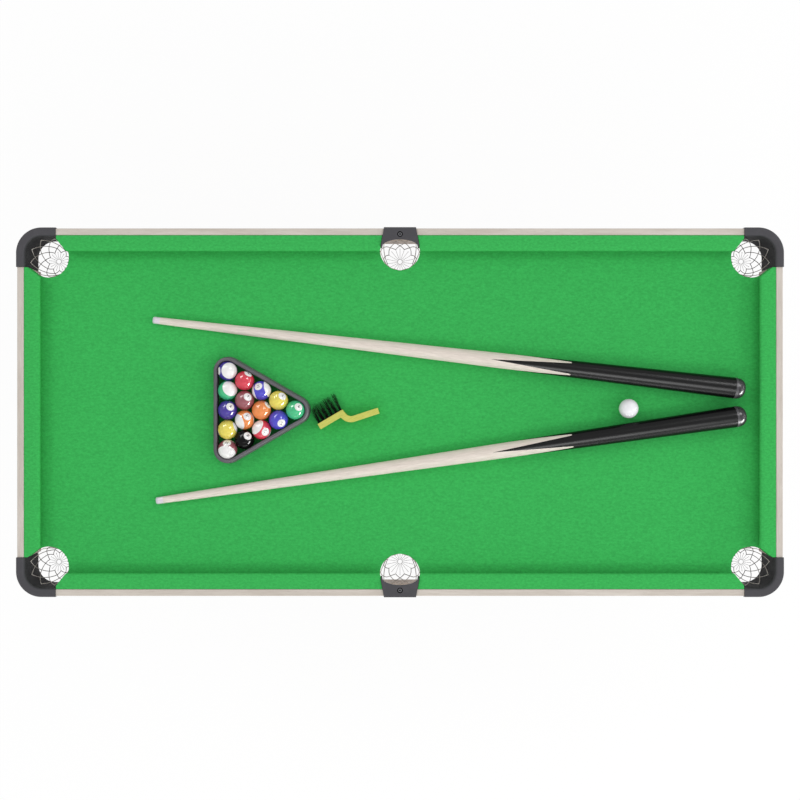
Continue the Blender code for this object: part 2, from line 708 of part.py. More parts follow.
def make_leg_frame(end, sign):
    """Two square tubes on a pivot bar, with a flat stretcher that carries the stay's tab."""
    mirror = place(sign, 1)
    name = f"leg_frame_{end}"
    origin = (sign * PIVOT_X, 0, PIVOT_Z)
    _, leg, _ = stay_points()
    bar = round_bar(PIVOT_X, PIVOT_Z, PIVOT_RADIUS, -LEG_HALF_SPREAD, LEG_HALF_SPREAD)
    frame = solid(name, moved(bar, mirror), black_steel(), origin)
    half = LEG_TUBE / 2
    bore = half - LEG_TUBE_WALL
    x = PIVOT_X + LEG_OFFSET
    bottom = FOOT_PAD_HEIGHT + SEAT_GAP
    top = PIVOT_Z + LEG_TOP_ABOVE_PIVOT
    tubes = []
    for number, y in enumerate((-LEG_HALF_SPREAD, LEG_HALF_SPREAD), 1):
        tube = block((x - half, y - half, bottom), (x + half, y + half, top))
        tubes.append((solid(f"{name}_tube_{number}", moved(tube, mirror), black_steel()), "UNION"))
        hollow = block(
            (x - bore, y - bore, bottom - FOOT_PAD_HEIGHT),
            (x + bore, y + bore, PIVOT_Z - LEG_BORE_BELOW_PIVOT),
        )
        tubes.append((solid(f"{name}_hollow_{number}", moved(hollow, mirror), black_steel()), "DIFFERENCE"))
    for tube, operation in tubes:
        combine(frame, tube, operation)
    within_wall = LEG_HALF_SPREAD - half + LEG_TUBE_WALL / 2
    stretcher = block(
        (x - STRETCHER_THICKNESS / 2, -within_wall, leg[1] - STRETCHER_HEIGHT / 2),
        (x + STRETCHER_THICKNESS / 2, within_wall, leg[1] + STRETCHER_HEIGHT / 2),
    )
    combine(frame, solid(f"{name}_stretcher", moved(stretcher, mirror), black_steel()), "UNION")
    front = SEAT_GAP * 1.5 + STAY_THICKNESS
    shape = bar_outline(leg, (x - STAY_HALF_WIDTH, leg[1]), STAY_HALF_WIDTH)
    tab = upright(shape, front, front + STAY_THICKNESS)
    combine(frame, solid(f"{name}_tab", moved(tab, mirror), black_steel()), "UNION")
    hole = round_bar(*leg, STAY_PIN_RADIUS + SEAT_GAP, front - STAY_THICKNESS, front + 2 * STAY_THICKNESS)
    combine(frame, solid(f"{name}_hole", moved(hole, mirror), black_steel()), "DIFFERENCE")


def make_stay(end, sign, upper):
    """One flat link of the folding stay, with its pin through the tab beside it."""
    mirror = place(sign, 1)
    bed, leg, knee = stay_points()
    pivot = bed if upper else leg
    name = f"stay_{'upper' if upper else 'lower'}_{end}"
    face = -1 if upper else 1
    inner = face * SEAT_GAP / 2
    outer = inner + face * STAY_THICKNESS
    link = upright(bar_outline(pivot, knee, STAY_HALF_WIDTH), inner, outer)
    stay = solid(name, moved(link, mirror), zinc_steel(), (sign * pivot[0], 0, pivot[1]))
    head = outer + face * (STAY_THICKNESS + 2 * SEAT_GAP)
    within_link = (inner + outer) / 2
    pin = round_bar(*pivot, STAY_PIN_RADIUS, within_link, head + face * RIVET_HEIGHT / 2)
    combine(stay, solid(f"{name}_pin", moved(pin, mirror), zinc_steel()), "UNION")
    rivet = round_bar(*pivot, RIVET_RADIUS, head, head + face * RIVET_HEIGHT)
    combine(stay, solid(f"{name}_rivet", moved(rivet, mirror), zinc_steel()), "UNION")
    knuckle = round_bar(*knee, RIVET_RADIUS, within_link, outer + face * RIVET_HEIGHT)
    combine(stay, solid(f"{name}_knuckle", moved(knuckle, mirror), zinc_steel()), "UNION")


def make_foot(end, sign_x, side, sign_y):
    """A levelling foot: a round pad on a plug that screws into the leg tube."""
    plug = LEG_TUBE / 2 - LEG_TUBE_WALL - SEAT_GAP
    chamfer = FOOT_PAD_HEIGHT / 4
    profile = (
        (FOOT_PAD_RADIUS - chamfer, 0),
        (FOOT_PAD_RADIUS, chamfer),
        (FOOT_PAD_RADIUS, FOOT_PAD_HEIGHT),
        (plug, FOOT_PAD_HEIGHT),
        (plug, FOOT_PAD_HEIGHT + FOOT_PLUG_LENGTH),
    )
    at = (sign_x * (PIVOT_X + LEG_OFFSET), sign_y * LEG_HALF_SPREAD, 0)
    solid(f"foot_{end}_{side}", turned(profile, 24, at), dark_plastic(), at, smooth_angle=40)


def make_legs():
    for end, sign in ENDS:
        make_chassis(end, sign)
        make_leg_frame(end, sign)
        make_stay(end, sign, True)
        make_stay(end, sign, False)
        for side, sign_y in SIDES:
            make_foot(end, sign, side, sign_y)


def ball_places():
    """{ball number: (x, y)} of the racked balls, columns from the flat side to the apex."""
    pitch = BALL_DIAMETER + BALL_GAP
    last = len(RACK_ORDER) - 1
    places = {}
    for column, numbers in enumerate(RACK_ORDER):
        x = RACK_APEX[0] - (last - column) * pitch * math.sqrt(3) / 2
        for row, number in enumerate(numbers):
            places[number] = (x, RACK_APEX[1] + ((len(numbers) - 1) / 2 - row) * pitch)
    return places


def ball(name, at, finish):
    shape = bmesh.new()
    bmesh.ops.create_icosphere(shape, subdivisions=BALL_SUBDIVISIONS, radius=BALL_RADIUS)
    mesh = bpy.data.meshes.new(name)
    shape.to_mesh(mesh)
    shape.free()
    mesh.materials.append(finish)
    mesh.shade_smooth()
    obj = bpy.data.objects.new(name, mesh)
    obj.location = (*at, ON_CLOTH + BALL_RADIUS)
    bpy.context.collection.objects.link(obj)


def make_balls():
    ivory = material("ball_ivory", (0.85, 0.84, 0.80), 0.08)
    ball("cue_ball", CUE_BALL_AT, ivory)
    colours = {
        1: (0.80, 0.55, 0.02),
        2: (0.02, 0.05, 0.45),
        3: (0.70, 0.03, 0.03),
        4: (0.12, 0.06, 0.32),
        5: (0.85, 0.22, 0.03),
        6: (0.01, 0.22, 0.08),
        7: (0.28, 0.03, 0.06),
        8: (0.01, 0.01, 0.012),
    }
    for number, at in ball_places().items():
        hue = number if number in colours else number - len(colours)
        finish = material(f"ball_colour_{hue}", colours[hue], 0.08)
        ball(f"ball_{number}", at, finish)


def rack_ring(offset):
    """The outline at a distance round the three corner balls, as rounded corners in turn."""
    places = ball_places()
    flat_side = RACK_ORDER[0]
    corners = ((RACK_ORDER[-1][0], -60), (flat_side[0], 60), (flat_side[-1], 180))
    ring = []
    for number, start in corners:
        ring += arc(places[number], offset, start, start + 120, RACK_CORNER_STEPS)
    return ring


def make_rack():
    inner = rack_ring(BALL_RADIUS + RACK_CLEARANCE)
    outer = rack_ring(BALL_RADIUS + RACK_CLEARANCE + RACK_WALL)
    foot = rack_ring(BALL_RADIUS + RACK_CLEARANCE + RACK_WALL + RACK_FOOT)
    low = ON_CLOTH
    high = ON_CLOTH + RACK_HEIGHT
    rings = [[(*f, low), (*o, high), (*i, high), (*i, low)] for f, o, i in zip(foot, outer, inner)]
    rack = solid("ball_rack", loft(rings, closed=True), material("rack_plastic", (0.12, 0.115, 0.12), 0.4))
    soften(rack, RACK_EDGE)


def cue_profile():
    """(distance from the butt end, radius) along a cue."""
    taper = (CUE_BUTT_RADIUS - CUE_TIP_RADIUS) / (CUE_LENGTH - CUE_BUMPER_LENGTH)
    shoulder = CUE_TIP_RADIUS + taper * CUE_TIP_LENGTH
    bumper = [(CUE_BUMPER_LENGTH * along, CUE_BUTT_RADIUS * wide) for along, wide in CUE_BUMPER_SHARES]
    tip = [(CUE_LENGTH - CUE_TIP_LENGTH, shoulder), (CUE_LENGTH, CUE_TIP_RADIUS - CUE_TIP_ROUND)]
    return bumper + tip


def make_cues():
    """Turned cues that lie with their lowest line level on the cloth."""
    for number, (to_cushion, across, heading) in enumerate(CUE_PLACES, 1):
        rings = []
        for along, radius in cue_profile():
            rings.append([(along, y, z) for y, z in circle((0, CUE_BUTT_RADIUS), radius, CUE_SIDES)])
            if along >= CUE_BUMPER_LENGTH:
                drop = CUE_BUTT_RADIUS - radius
                rings[-1] = [(x, y, z - drop) for x, y, z in rings[-1]]
        cue = solid(f"cue_{number}", loft(rings), pale_wood(), smooth_angle=40)
        cue.location = (NOSE_X - to_cushion, across, ON_CLOTH)
        cue.rotation_euler = (0, 0, math.radians(heading))


def brush_spine():
    """The middle of the brush seen from its side: head, steep step down, round bend, sloping handle."""
    step = math.radians(BRUSH_STEP_FALL)
    fall = math.radians(BRUSH_HANDLE_FALL)
    meet = Vector((BRUSH_HEAD_LENGTH, 0)) + BRUSH_STEP_LENGTH * Vector((math.cos(step), -math.sin(step)))
    grip = meet + BRUSH_HANDLE_LENGTH * Vector((math.cos(fall), -math.sin(fall)))
    half_turn = (step - fall) / 2
    towards = step - half_turn
    middle = meet + BRUSH_BEND_RADIUS / math.cos(half_turn) * Vector((math.sin(towards), math.cos(towards)))
    bend = arc(middle, BRUSH_BEND_RADIUS, 270 - BRUSH_STEP_FALL, 270 - BRUSH_HANDLE_FALL, BRUSH_BEND_STEPS)
    return [(0, 0), (BRUSH_HEAD_LENGTH, 0), *bend, tuple(grip)]


def bristle_run():
    """The length of the bristles' bed on the straight edge of the head."""
    corner = BRUSH_THICKNESS / 2 * math.tan(math.radians(BRUSH_STEP_FALL / 2))
    return BRUSH_HEAD_LENGTH + corner - 2 * BRISTLE_MARGIN


def offset_line(points, distance):
    """A line of points moved sideways, mitred at its bends."""
    moved_points = []
    for i, point in enumerate(points):
        before = Vector(points[max(i - 1, 0)])
        after = Vector(points[min(i + 1, len(points) - 1)])
        into = (Vector(point) - before).normalized() if i else (after - Vector(point)).normalized()
        out = (after - Vector(point)).normalized() if i < len(points) - 1 else into
        normal = Vector((-into.y - out.y, into.x + out.x)).normalized()
        stretch = distance / normal.dot(Vector((-into.y, into.x)))
        moved_points.append(tuple(Vector(point) + normal * stretch))
    return moved_points


def on_brush(obj):
    """Lays a piece of the brush beside the rack's apex, its bristle tips clear of the rack."""
    heading = math.radians(BRUSH_HEADING)
    rack_tip = RACK_APEX[0] + BALL_RADIUS + RACK_CLEARANCE + RACK_WALL + RACK_FOOT
    reach = BRUSH_THICKNESS / 2 + SEAT_GAP + BRISTLE_BACKING + BRISTLE_LENGTH - BRISTLE_TRIM
    first = BRISTLE_MARGIN - bristle_run() * BRISTLE_FAN / 2
    x = rack_tip + BRUSH_TO_RACK + reach * math.sin(heading) - first * math.cos(heading)
    obj.location = (x, RACK_APEX[1] - BRUSH_BELOW_APEX, ON_CLOTH)
    obj.rotation_euler = (0, 0, heading)


def make_brush_handle():
    spine = brush_spine()
    half = BRUSH_THICKNESS / 2
    outline = offset_line(spine, -half) + offset_line(spine, half)[::-1]
    finish = material("brush_lacquer", (0.52, 0.50, 0.10), 0.35)
    handle = solid("brush_handle", prism(outline, 0, BRUSH_WIDTH), finish)
    soften(handle, BRUSH_EDGE, 2)
    on_brush(handle)


def make_bristles():
    """Three-sided tapering strands, two on each cell of a grid, shorter at the end by the rack."""
    length = bristle_run()
    depth = BRUSH_WIDTH - 2 * BRUSH_EDGE
    root = BRUSH_THICKNESS / 2 + SEAT_GAP
    level = root + BRISTLE_BACKING
    cell_x = length / BRISTLE_COLUMNS
    cell_z = depth / BRISTLE_ROWS
    points = []
    faces = []
    across = BRISTLE_ROWS + 1
    for i in range(BRISTLE_COLUMNS + 1):
        for k in range(across):
            points.append((BRISTLE_MARGIN + i * cell_x, level, BRUSH_EDGE + k * cell_z))
    for i in range(BRISTLE_COLUMNS):
        for k in range(BRISTLE_ROWS):
            a, b = i * across + k, (i + 1) * across + k
            lean = ((i + 0.5) / BRISTLE_COLUMNS - 0.5) * length * BRISTLE_FAN
            trim = BRISTLE_TRIM * max(0.0, 1 - i * cell_x / BRISTLE_TRIM_RUN)
            for foot in ((a, b, b + 1), (a, b + 1, a + 1)):
                middle = sum((Vector(points[c]) for c in foot), Vector()) / 3
                tip = len(points)
                for c in foot:
                    spread = (Vector(points[c]) - middle) * BRISTLE_TIP_SHARE
                    points.append(tuple(middle + spread + Vector((lean, BRISTLE_LENGTH - trim, 0))))
                faces.append((tip, tip + 1, tip + 2))
                for n in range(3):
                    m = (n + 1) % 3
                    faces.append((foot[n], foot[m], tip + m, tip + n))
    low = [c for c in range(across)]
    high = [BRISTLE_COLUMNS * across + c for c in range(across)]
    front = [i * across for i in range(BRISTLE_COLUMNS + 1)]
    back = [i * across + BRISTLE_ROWS for i in range(BRISTLE_COLUMNS + 1)]
    base = len(points)
    for c in (low[0], high[0], high[-1], low[-1]):
        points.append((points[c][0], root, points[c][2]))
    faces.append((base, base + 1, base + 2, base + 3))
    for edge, start, end in ((front, 0, 1), (high, 1, 2), (back[::-1], 2, 3), (low[::-1], 3, 0)):
        faces.append((*edge, base + end, base + start))
    bristles = solid("brush_bristles", (points, faces), material("bristle_black", (0.015, 0.014, 0.013), 0.6))
    on_brush(bristles)


def main():
    clear_scene()
    make_bed()
    make_aprons()
    make_cushions()
    make_corner_caps()
    make_side_caps()
    make_nets()
    make_legs()
    make_balls()
    make_rack()
    make_cues()
    make_brush_handle()
    make_bristles()


main()
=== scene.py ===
"""Looks of the home billiard table on folding legs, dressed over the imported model.

Metres, +Z up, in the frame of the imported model: +X runs along the table to its right-hand end and
+Y across it to the back.
"""

import json
import math
import random

import bmesh
import bpy
from mathutils import Matrix, Vector

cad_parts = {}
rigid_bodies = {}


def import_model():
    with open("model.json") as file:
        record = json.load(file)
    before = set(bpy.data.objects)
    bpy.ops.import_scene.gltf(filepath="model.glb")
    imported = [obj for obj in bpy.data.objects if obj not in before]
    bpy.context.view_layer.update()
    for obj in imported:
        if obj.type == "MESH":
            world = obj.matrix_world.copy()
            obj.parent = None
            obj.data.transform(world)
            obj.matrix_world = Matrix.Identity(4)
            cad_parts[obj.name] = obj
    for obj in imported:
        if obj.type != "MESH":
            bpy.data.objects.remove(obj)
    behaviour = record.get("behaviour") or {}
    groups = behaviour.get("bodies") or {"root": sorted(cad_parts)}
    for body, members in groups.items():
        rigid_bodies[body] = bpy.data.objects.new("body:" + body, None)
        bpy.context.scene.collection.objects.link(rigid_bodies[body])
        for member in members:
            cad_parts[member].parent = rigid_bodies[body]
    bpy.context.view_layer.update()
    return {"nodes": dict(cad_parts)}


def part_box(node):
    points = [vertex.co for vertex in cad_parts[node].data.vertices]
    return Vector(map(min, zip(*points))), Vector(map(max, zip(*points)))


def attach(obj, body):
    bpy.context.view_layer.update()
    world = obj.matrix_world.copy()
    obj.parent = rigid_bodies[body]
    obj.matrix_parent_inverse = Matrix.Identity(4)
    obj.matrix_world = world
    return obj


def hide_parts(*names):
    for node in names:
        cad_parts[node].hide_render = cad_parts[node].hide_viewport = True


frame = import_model()


def srgb(red, green, blue):
    """A colour in screen values from 0 to 255, as the linear values that shaders take."""
    parts = [value / 255 for value in (red, green, blue)]
    linear = [p / 12.92 if p <= 0.04045 else ((p + 0.055) / 1.055) ** 2.4 for p in parts]
    return (*linear, 1.0)


def shaded(colour, factor, lift=0.0):
    """A colour made darker or lighter."""
    return (*(min(1.0, part * factor + lift) for part in colour[:3]), 1.0)


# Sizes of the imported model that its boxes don't give
HALF_LENGTH = 0.750
HALF_WIDTH = 0.360
RAIL_HEIGHT = 0.750
RAIL_LIP = 0.013
SEAT_GAP = 0.0003
CLOTH_TOP = 0.722
CLOTH_THICKNESS = 0.001
APRON_BOTTOM = 0.660
CUSHION_DEPTH = 0.031
CUSHION_BASE = 0.020
CUSHION_NOSE_HEIGHT = 0.0225
CUSHION_NOSE_ROUND = 0.005
POCKET_RADIUS = 0.0397
CORNER_POCKET = (0.6966, 0.3066)
CORNER_JAW = 0.0413
CORNER_JAW_SQUARE = 0.007
SIDE_POCKET_Y = 0.321
SIDE_NET_Y = 0.31165
CAP_END = (0.6745, 0.2845)
CAP_TOP = 0.753
CAP_PROUD = 0.002
CAP_CORNER_RADIUS = 0.050
SIDE_CAP_HALF_WIDTH = 0.0314
SIDE_CAP_FLARE = 0.172
SIDE_CAP_TIP_SETBACK = 0.0085
SIDE_CAP_MOUTH_SETBACK = 0.0218
SIDE_CAP_TIP_WIDTH = 0.0033
SIDE_CAP_LIP_DROP = 0.014
SIDE_CAP_SKIRT = 0.0025
SIDE_SCREW_INSET = 0.0115
SCREW_HEAD_RADIUS = 0.0045
SCREW_SHANK_RADIUS = 0.0018
SCREW_HEAD_HEIGHT = 0.0018
SCREW_LENGTH = 0.022
NET_CLEARANCE = 0.0005
NET_TOP = 0.7187
NET_DEPTH = 0.064
APRON_FACE_Y = 0.342
PIVOT = (0.696, 0.6867)
PIVOT_RADIUS = 0.008
LEG_TUBE = 0.025
LEG_TUBE_WALL = 0.002
LEG_X = 0.714
LEG_HALF_SPREAD = 0.235
LEG_TOP = 0.6967
LEG_BOTTOM = 0.0083
LEG_BORE_TOP = 0.6667
STRETCHER_THICKNESS = 0.006
STRETCHER_HEIGHT = 0.030
STAY_LEG_PIVOT = (0.692, 0.4067)
STAY_HALF_WIDTH = 0.008
STAY_THICKNESS = 0.003
STAY_PIN_RADIUS = 0.003
FOOT_PAD_RADIUS = 0.016
FOOT_PAD_HEIGHT = 0.008
FOOT_PLUG_LENGTH = 0.030
BALL_RADIUS = 0.01905
RACK_CLEARANCE = 0.0006
RACK_WALL = 0.0063
RACK_FOOT = 0.0028
CUE_LENGTH = 1.1738
CUE_BUTT_RADIUS = 0.0208
CUE_TIP_RADIUS = 0.0067
CUE_BUMPER_LENGTH = 0.0225
CUE_PLACES = ((0.6777, 0.0449, 173.29), (0.6796, -0.0061, 188.30))
BRUSH_AT = (-0.15890, -0.0285)
BRUSH_HEADING = 30.5
BRUSH_WIDTH = 0.024
BRUSH_THICKNESS = 0.012
BRUSH_HEAD_LENGTH = 0.0512
BRUSH_STEP_FALL = 80.0
BRUSH_STEP_LENGTH = 0.0187
BRUSH_BEND_RADIUS = 0.019
BRUSH_HANDLE_LENGTH = 0.0636
BRUSH_HANDLE_FALL = 12.4
BRUSH_EDGE = 0.002
BRISTLE_BACKING = 0.0025
BRISTLE_MARGIN = 0.002
BRISTLE_LENGTH = 0.032
BRISTLE_TRIM = 0.005
BRISTLE_TRIM_RUN = 0.010

LIP_X = HALF_LENGTH - RAIL_LIP
LIP_Y = HALF_WIDTH - RAIL_LIP
NOSE_Y = LIP_Y - CUSHION_DEPTH
ON_CLOTH = CLOTH_TOP + SEAT_GAP

CAP_GREY = srgb(75, 74, 78)

ENDS = (("left", -1), ("right", 1))
SIDES = (("front", -1), ("back", 1))
CORNERS = [(f"{side}_{end}", sign_x, sign_y) for side, sign_y in SIDES for end, sign_x in ENDS]

# The photograph's camera, straight down
CAMERA_AT = (0.0, 0.0239, 2.926)
CAMERA_LENS = 50
CAMERA_SENSOR = 36


class Finish:
    """A material under construction, with short calls for the nodes that the finishes share."""

    def __init__(self, name, **sockets):
        self.material = bpy.data.materials.new(name)
        self.material.use_nodes = True
        self.tree = self.material.node_tree
        self.shader = self.tree.nodes["Principled BSDF"]
        self.place = self.node("ShaderNodeTexCoord").outputs["Object"]
        for socket, value in sockets.items():
            self.set(socket.replace("_", " ").title().replace("Ior", "IOR"), value)

    def feed(self, socket, value):
        if isinstance(value, bpy.types.NodeSocket):
            self.tree.links.new(value, socket)
        else:
            socket.default_value = value

    def set(self, socket, value):
        self.feed(self.shader.inputs[socket], value)

    def node(self, kind, inputs=None, **settings):
        made = self.tree.nodes.new(kind)
        for name, value in settings.items():
            setattr(made, name, value)
        for name, value in (inputs or {}).items():
            self.feed(made.inputs[name], value)
        return made

    def math(self, operation, first, second=0.0):
        return self.node("ShaderNodeMath", {0: first, 1: second}, operation=operation).outputs[0]

    def axis(self, letter):
        return self.node("ShaderNodeSeparateXYZ", {0: self.place}).outputs[letter]

    def noise(self, scale, detail, roughness, stretch=(1, 1, 1), distortion=0.0):
        """Noise with cells of about 1 / scale metres, longer along an axis with a small stretch."""
        where = self.node("ShaderNodeVectorMath", {0: self.place, 1: stretch}, operation="MULTIPLY")
        inputs = {"Vector": where.outputs[0], "Scale": scale, "Detail": detail}
        inputs.update({"Roughness": roughness, "Distortion": distortion})
        return self.node("ShaderNodeTexNoise", inputs).outputs["Fac"]

    def span(self, value, low, high, start=0.0, end=1.0):
        """A value that runs from start to end while its input runs from low to high."""
        inputs = {"Value": value, "From Min": low, "From Max": high, "To Min": start, "To Max": end}
        return self.node("ShaderNodeMapRange", inputs, clamp=True).outputs["Result"]

    def blend(self, first, second, share):
        """Two values weighed by the share of the first."""
        rest = self.math("MULTIPLY", second, 1 - share)
        return self.math("ADD", self.math("MULTIPLY", first, share), rest)

    def mix(self, share, first, second):
        inputs = {0: share, 6: first, 7: second}
        return self.node("ShaderNodeMix", inputs, data_type="RGBA").outputs[2]

    def tone(self, value, first, second, low=0.3, high=0.7):
        """A colour that runs from first to second while its input runs from low to high."""
        return self.mix(self.span(value, low, high), first, second)

    def patches(self, value, low, high, most, under, over):
        """A colour with another laid over it, at most by that share, where a noise is high."""
        return self.mix(self.span(value, low, high, 0.0, most), under, over)

    def paint(self, colour):
        self.set("Base Color", colour)

    def roughen(self, value, start, end, low=0.3, high=0.7):
        self.set("Roughness", self.span(value, low, high, start, end))

    def bump(self, height, distance, strength):
        inputs = {"Height": height, "Distance": distance, "Strength": strength}
        self.set("Normal", self.node("ShaderNodeBump", inputs).outputs["Normal"])


def cloth_finish(name, base):
    """Napped wool: short fibres, faint mottling, and a soft sheen."""
    made = Finish(name, roughness=0.95, specular_ior_level=0.04, sheen_weight=0.08, sheen_roughness=0.55)
    made.set("Sheen Tint", srgb(120, 220, 145))
    nap = made.noise(200, 4.0, 0.62, (0.8, 1.4, 1.0))
    fibre = made.noise(950, 3.0, 0.7, (0.55, 1.5, 1.0))
    both = made.blend(nap, fibre, 0.6)
    made.paint(made.tone(both, shaded(base, 0.82), shaded(base, 1.16), 0.36, 0.64))
    made.bump(fibre, 0.0004, 0.55)
    return made.material


def wood_finish(name, along, inside):
    """Pale wood whose grain runs along X or Y: broad bands, fine streaks and short pores.

    The hidden faces nearer the table's middle than inside are bare board, whose darker brown is partly
    painted shade.
    """
    made = Finish(name, specular_ior_level=0.4)
    broad_run, fine_run = ([1.0 if axis == along else across for axis in "XYZ"] for across in (9.0, 22.0))
    broad = made.noise(7, 4.0, 0.55, broad_run, 0.6)
    fine = made.noise(24, 5.0, 0.65, fine_run)
    pores = made.noise(75, 2.0, 0.5, fine_run)
    colour = made.tone(made.blend(broad, fine, 0.55), WOOD_DARK, WOOD_LIGHT, 0.35, 0.66)
    colour = made.patches(pores, 0.60, 0.74, 0.55, colour, shaded(WOOD_DARK, 0.72))
    # Bare board on the inner faces: its own brown, partly darkened as painted shade.
    bare = made.tone(fine, srgb(160, 140, 124), srgb(188, 168, 151))
    across = made.math("ABSOLUTE", made.axis("Y" if along == "X" else "X"))
    made.paint(made.tone(across, bare, colour, inside, inside + 0.0002))
    made.roughen(fine, 0.52, 0.36)
    made.bump(made.math("SUBTRACT", fine, made.math("MULTIPLY", pores, 0.5)), 0.0003, 0.35)
    return made.material


def moulded_finish(name, base, roughness, grain=1500, depth=0.00012, specular=0.5):
    """Moulded plastic or rubber: a fine spark-eroded grain with scuffed, paler patches."""
    made = Finish(name, specular_ior_level=specular)
    fine = made.noise(grain, 2.0, 0.6)
    scuff = made.noise(38, 6.0, 0.7, distortion=0.4)
    colour = made.tone(fine, shaded(base, 0.86), base, 0.35, 0.65)
    made.paint(made.patches(scuff, 0.50, 0.78, 0.7, colour, shaded(base, 1.22, 0.004)))
    made.roughen(scuff, roughness - 0.05, roughness + 0.14, 0.3, 0.75)
    made.bump(fine, depth, 0.5)
    return made.material


def liner_finish():
    """The inside of a corner cap: the plastic darkens from its rolled edge down to a matt black. The black
    is partly the liner's own colour and partly painted shade, and the fade to it is painted shade.
    """
    made = Finish("cap_liner", specular_ior_level=0.1)
    fine = made.noise(1400, 2.0, 0.6)
    scuff = made.noise(60, 5.0, 0.65)
    black = made.tone(fine, srgb(36, 36, 38), srgb(42, 42, 44))
    black = made.patches(scuff, 0.55, 0.8, 0.6, black, srgb(50, 49, 52))
    # The fade from the cap's grey down to the black is painted shade.
    start = CAP_TOP - CAP_LINER_DROP
    made.paint(made.tone(made.axis("Z"), black, CAP_GREY, start - CAP_LINER_SHADE_FADE, start))
    made.roughen(scuff, 0.55, 0.75, 0.3, 0.75)
    made.bump(fine, 0.00012, 0.5)
    return made.material


def coated_steel():
    """Black powder coat with its orange-peel surface."""
    made = Finish("powder_coat", specular_ior_level=0.5)
    dust = made.noise(30, 5.0, 0.65, (1, 1, 0.4))
    made.paint(made.tone(dust, srgb(27, 27, 29), srgb(44, 44, 46), 0.45, 0.8))
    made.roughen(dust, 0.36, 0.54, 0.3, 0.8)
    made.bump(made.noise(850, 2.0, 0.5), 0.0002, 0.45)
    return made.material


def zinc_finish():
    """Bright zinc plate, drawn along its length, with dull spots."""
    made = Finish("zinc_plate", metallic=1.0)
    drawn = made.noise(60, 4.0, 0.6, (1, 12, 12))
    spot = made.noise(220, 3.0, 0.6)
    made.paint(made.tone(spot, srgb(162, 163, 166), srgb(128, 129, 133), 0.4, 0.7))
    made.roughen(drawn, 0.34, 0.5)
    made.bump(drawn, 0.0001, 0.3)
    return made.material


def fibreboard():
    """The bed's bare board: pressed fibres with darker chips."""
    made = Finish("fibreboard", roughness=0.8, specular_ior_level=0.25)
    fibre = made.noise(420, 4.0, 0.7)
    chip = made.noise(130, 3.0, 0.6, (0.4, 1, 1))
    colour = made.tone(fibre, srgb(128, 100, 74), srgb(172, 142, 110))
    made.paint(made.patches(chip, 0.58, 0.72, 0.5, colour, srgb(104, 78, 56)))
    made.bump(fibre, 0.0003, 0.5)
    return made.material


def net_finish():
    """Twisted nylon cord, with painted shade that darkens it towards the floor of the bag."""
    made = Finish("net_twine", roughness=0.85, specular_ior_level=0.25, sheen_weight=0.1)
    fluff = made.noise(900, 3.0, 0.7)
    lay = made.noise(420, 2.0, 0.5, (1.6, 1.6, 0.5))
    # The darker tone low in the bag is painted shade.
    high = made.tone(fluff, srgb(204, 197, 191), srgb(226, 219, 213))
    low = made.tone(fluff, srgb(108, 102, 99), srgb(128, 122, 119))
    made.paint(made.tone(made.axis("Z"), low, high, NET_TOP - NET_DEPTH * NET_SHADED_SHARE, NET_TOP))
    made.bump(made.math("ADD", fluff, lay), 0.0004, 0.7)
    return made.material


def ball_finish(name, colour, half_band=None, coat=0.5, specular=0.15):
    """Polished resin. The number's disc lies round local Z, and a stripe's white caps round local X."""
    made = Finish(name, coat_weight=coat, coat_roughness=0.03, specular_ior_level=specular)
    swirl = made.noise(160, 3.0, 0.55)
    ivory = made.tone(swirl, srgb(234, 233, 232), srgb(243, 242, 241))
    body = made.tone(swirl, shaded(colour, 0.86), colour)
    if half_band is not None:
        edge = BALL_RADIUS * math.sin(math.radians(half_band))
        aside = made.math("ABSOLUTE", made.axis("X"))
        body = made.tone(aside, body, ivory, edge - BALL_EDGE_SOFT, edge + BALL_EDGE_SOFT)
    disc = BALL_RADIUS * math.cos(math.radians(NUMBER_DISC_ANGLE))
    made.paint(made.tone(made.axis("Z"), body, ivory, disc - BALL_EDGE_SOFT, disc + BALL_EDGE_SOFT))
    made.roughen(made.noise(620, 4.0, 0.7), 0.07, 0.15, 0.4, 0.75)
    return made.material


def cue_ball_finish():
    """White resin, with hardly a swirl."""
    made = Finish("ball_white", coat_weight=0.35, coat_roughness=0.03, specular_ior_level=0.45)
    made.paint(made.tone(made.noise(120, 4.0, 0.55), srgb(238, 238, 241), srgb(243, 243, 246)))
    made.roughen(made.noise(500, 4.0, 0.7), 0.08, 0.16, 0.4, 0.75)
    return made.material


def ink_finish():
    """The balls' printed numbers, a little worn."""
    made = Finish("number_ink", specular_ior_level=0.45, coat_weight=0.3, coat_roughness=0.05)
    wear = made.noise(900, 3.0, 0.6)
    made.paint(made.tone(wear, srgb(30, 30, 32), srgb(52, 52, 54), 0.4, 0.75))
    made.roughen(wear, 0.12, 0.2)
    return made.material


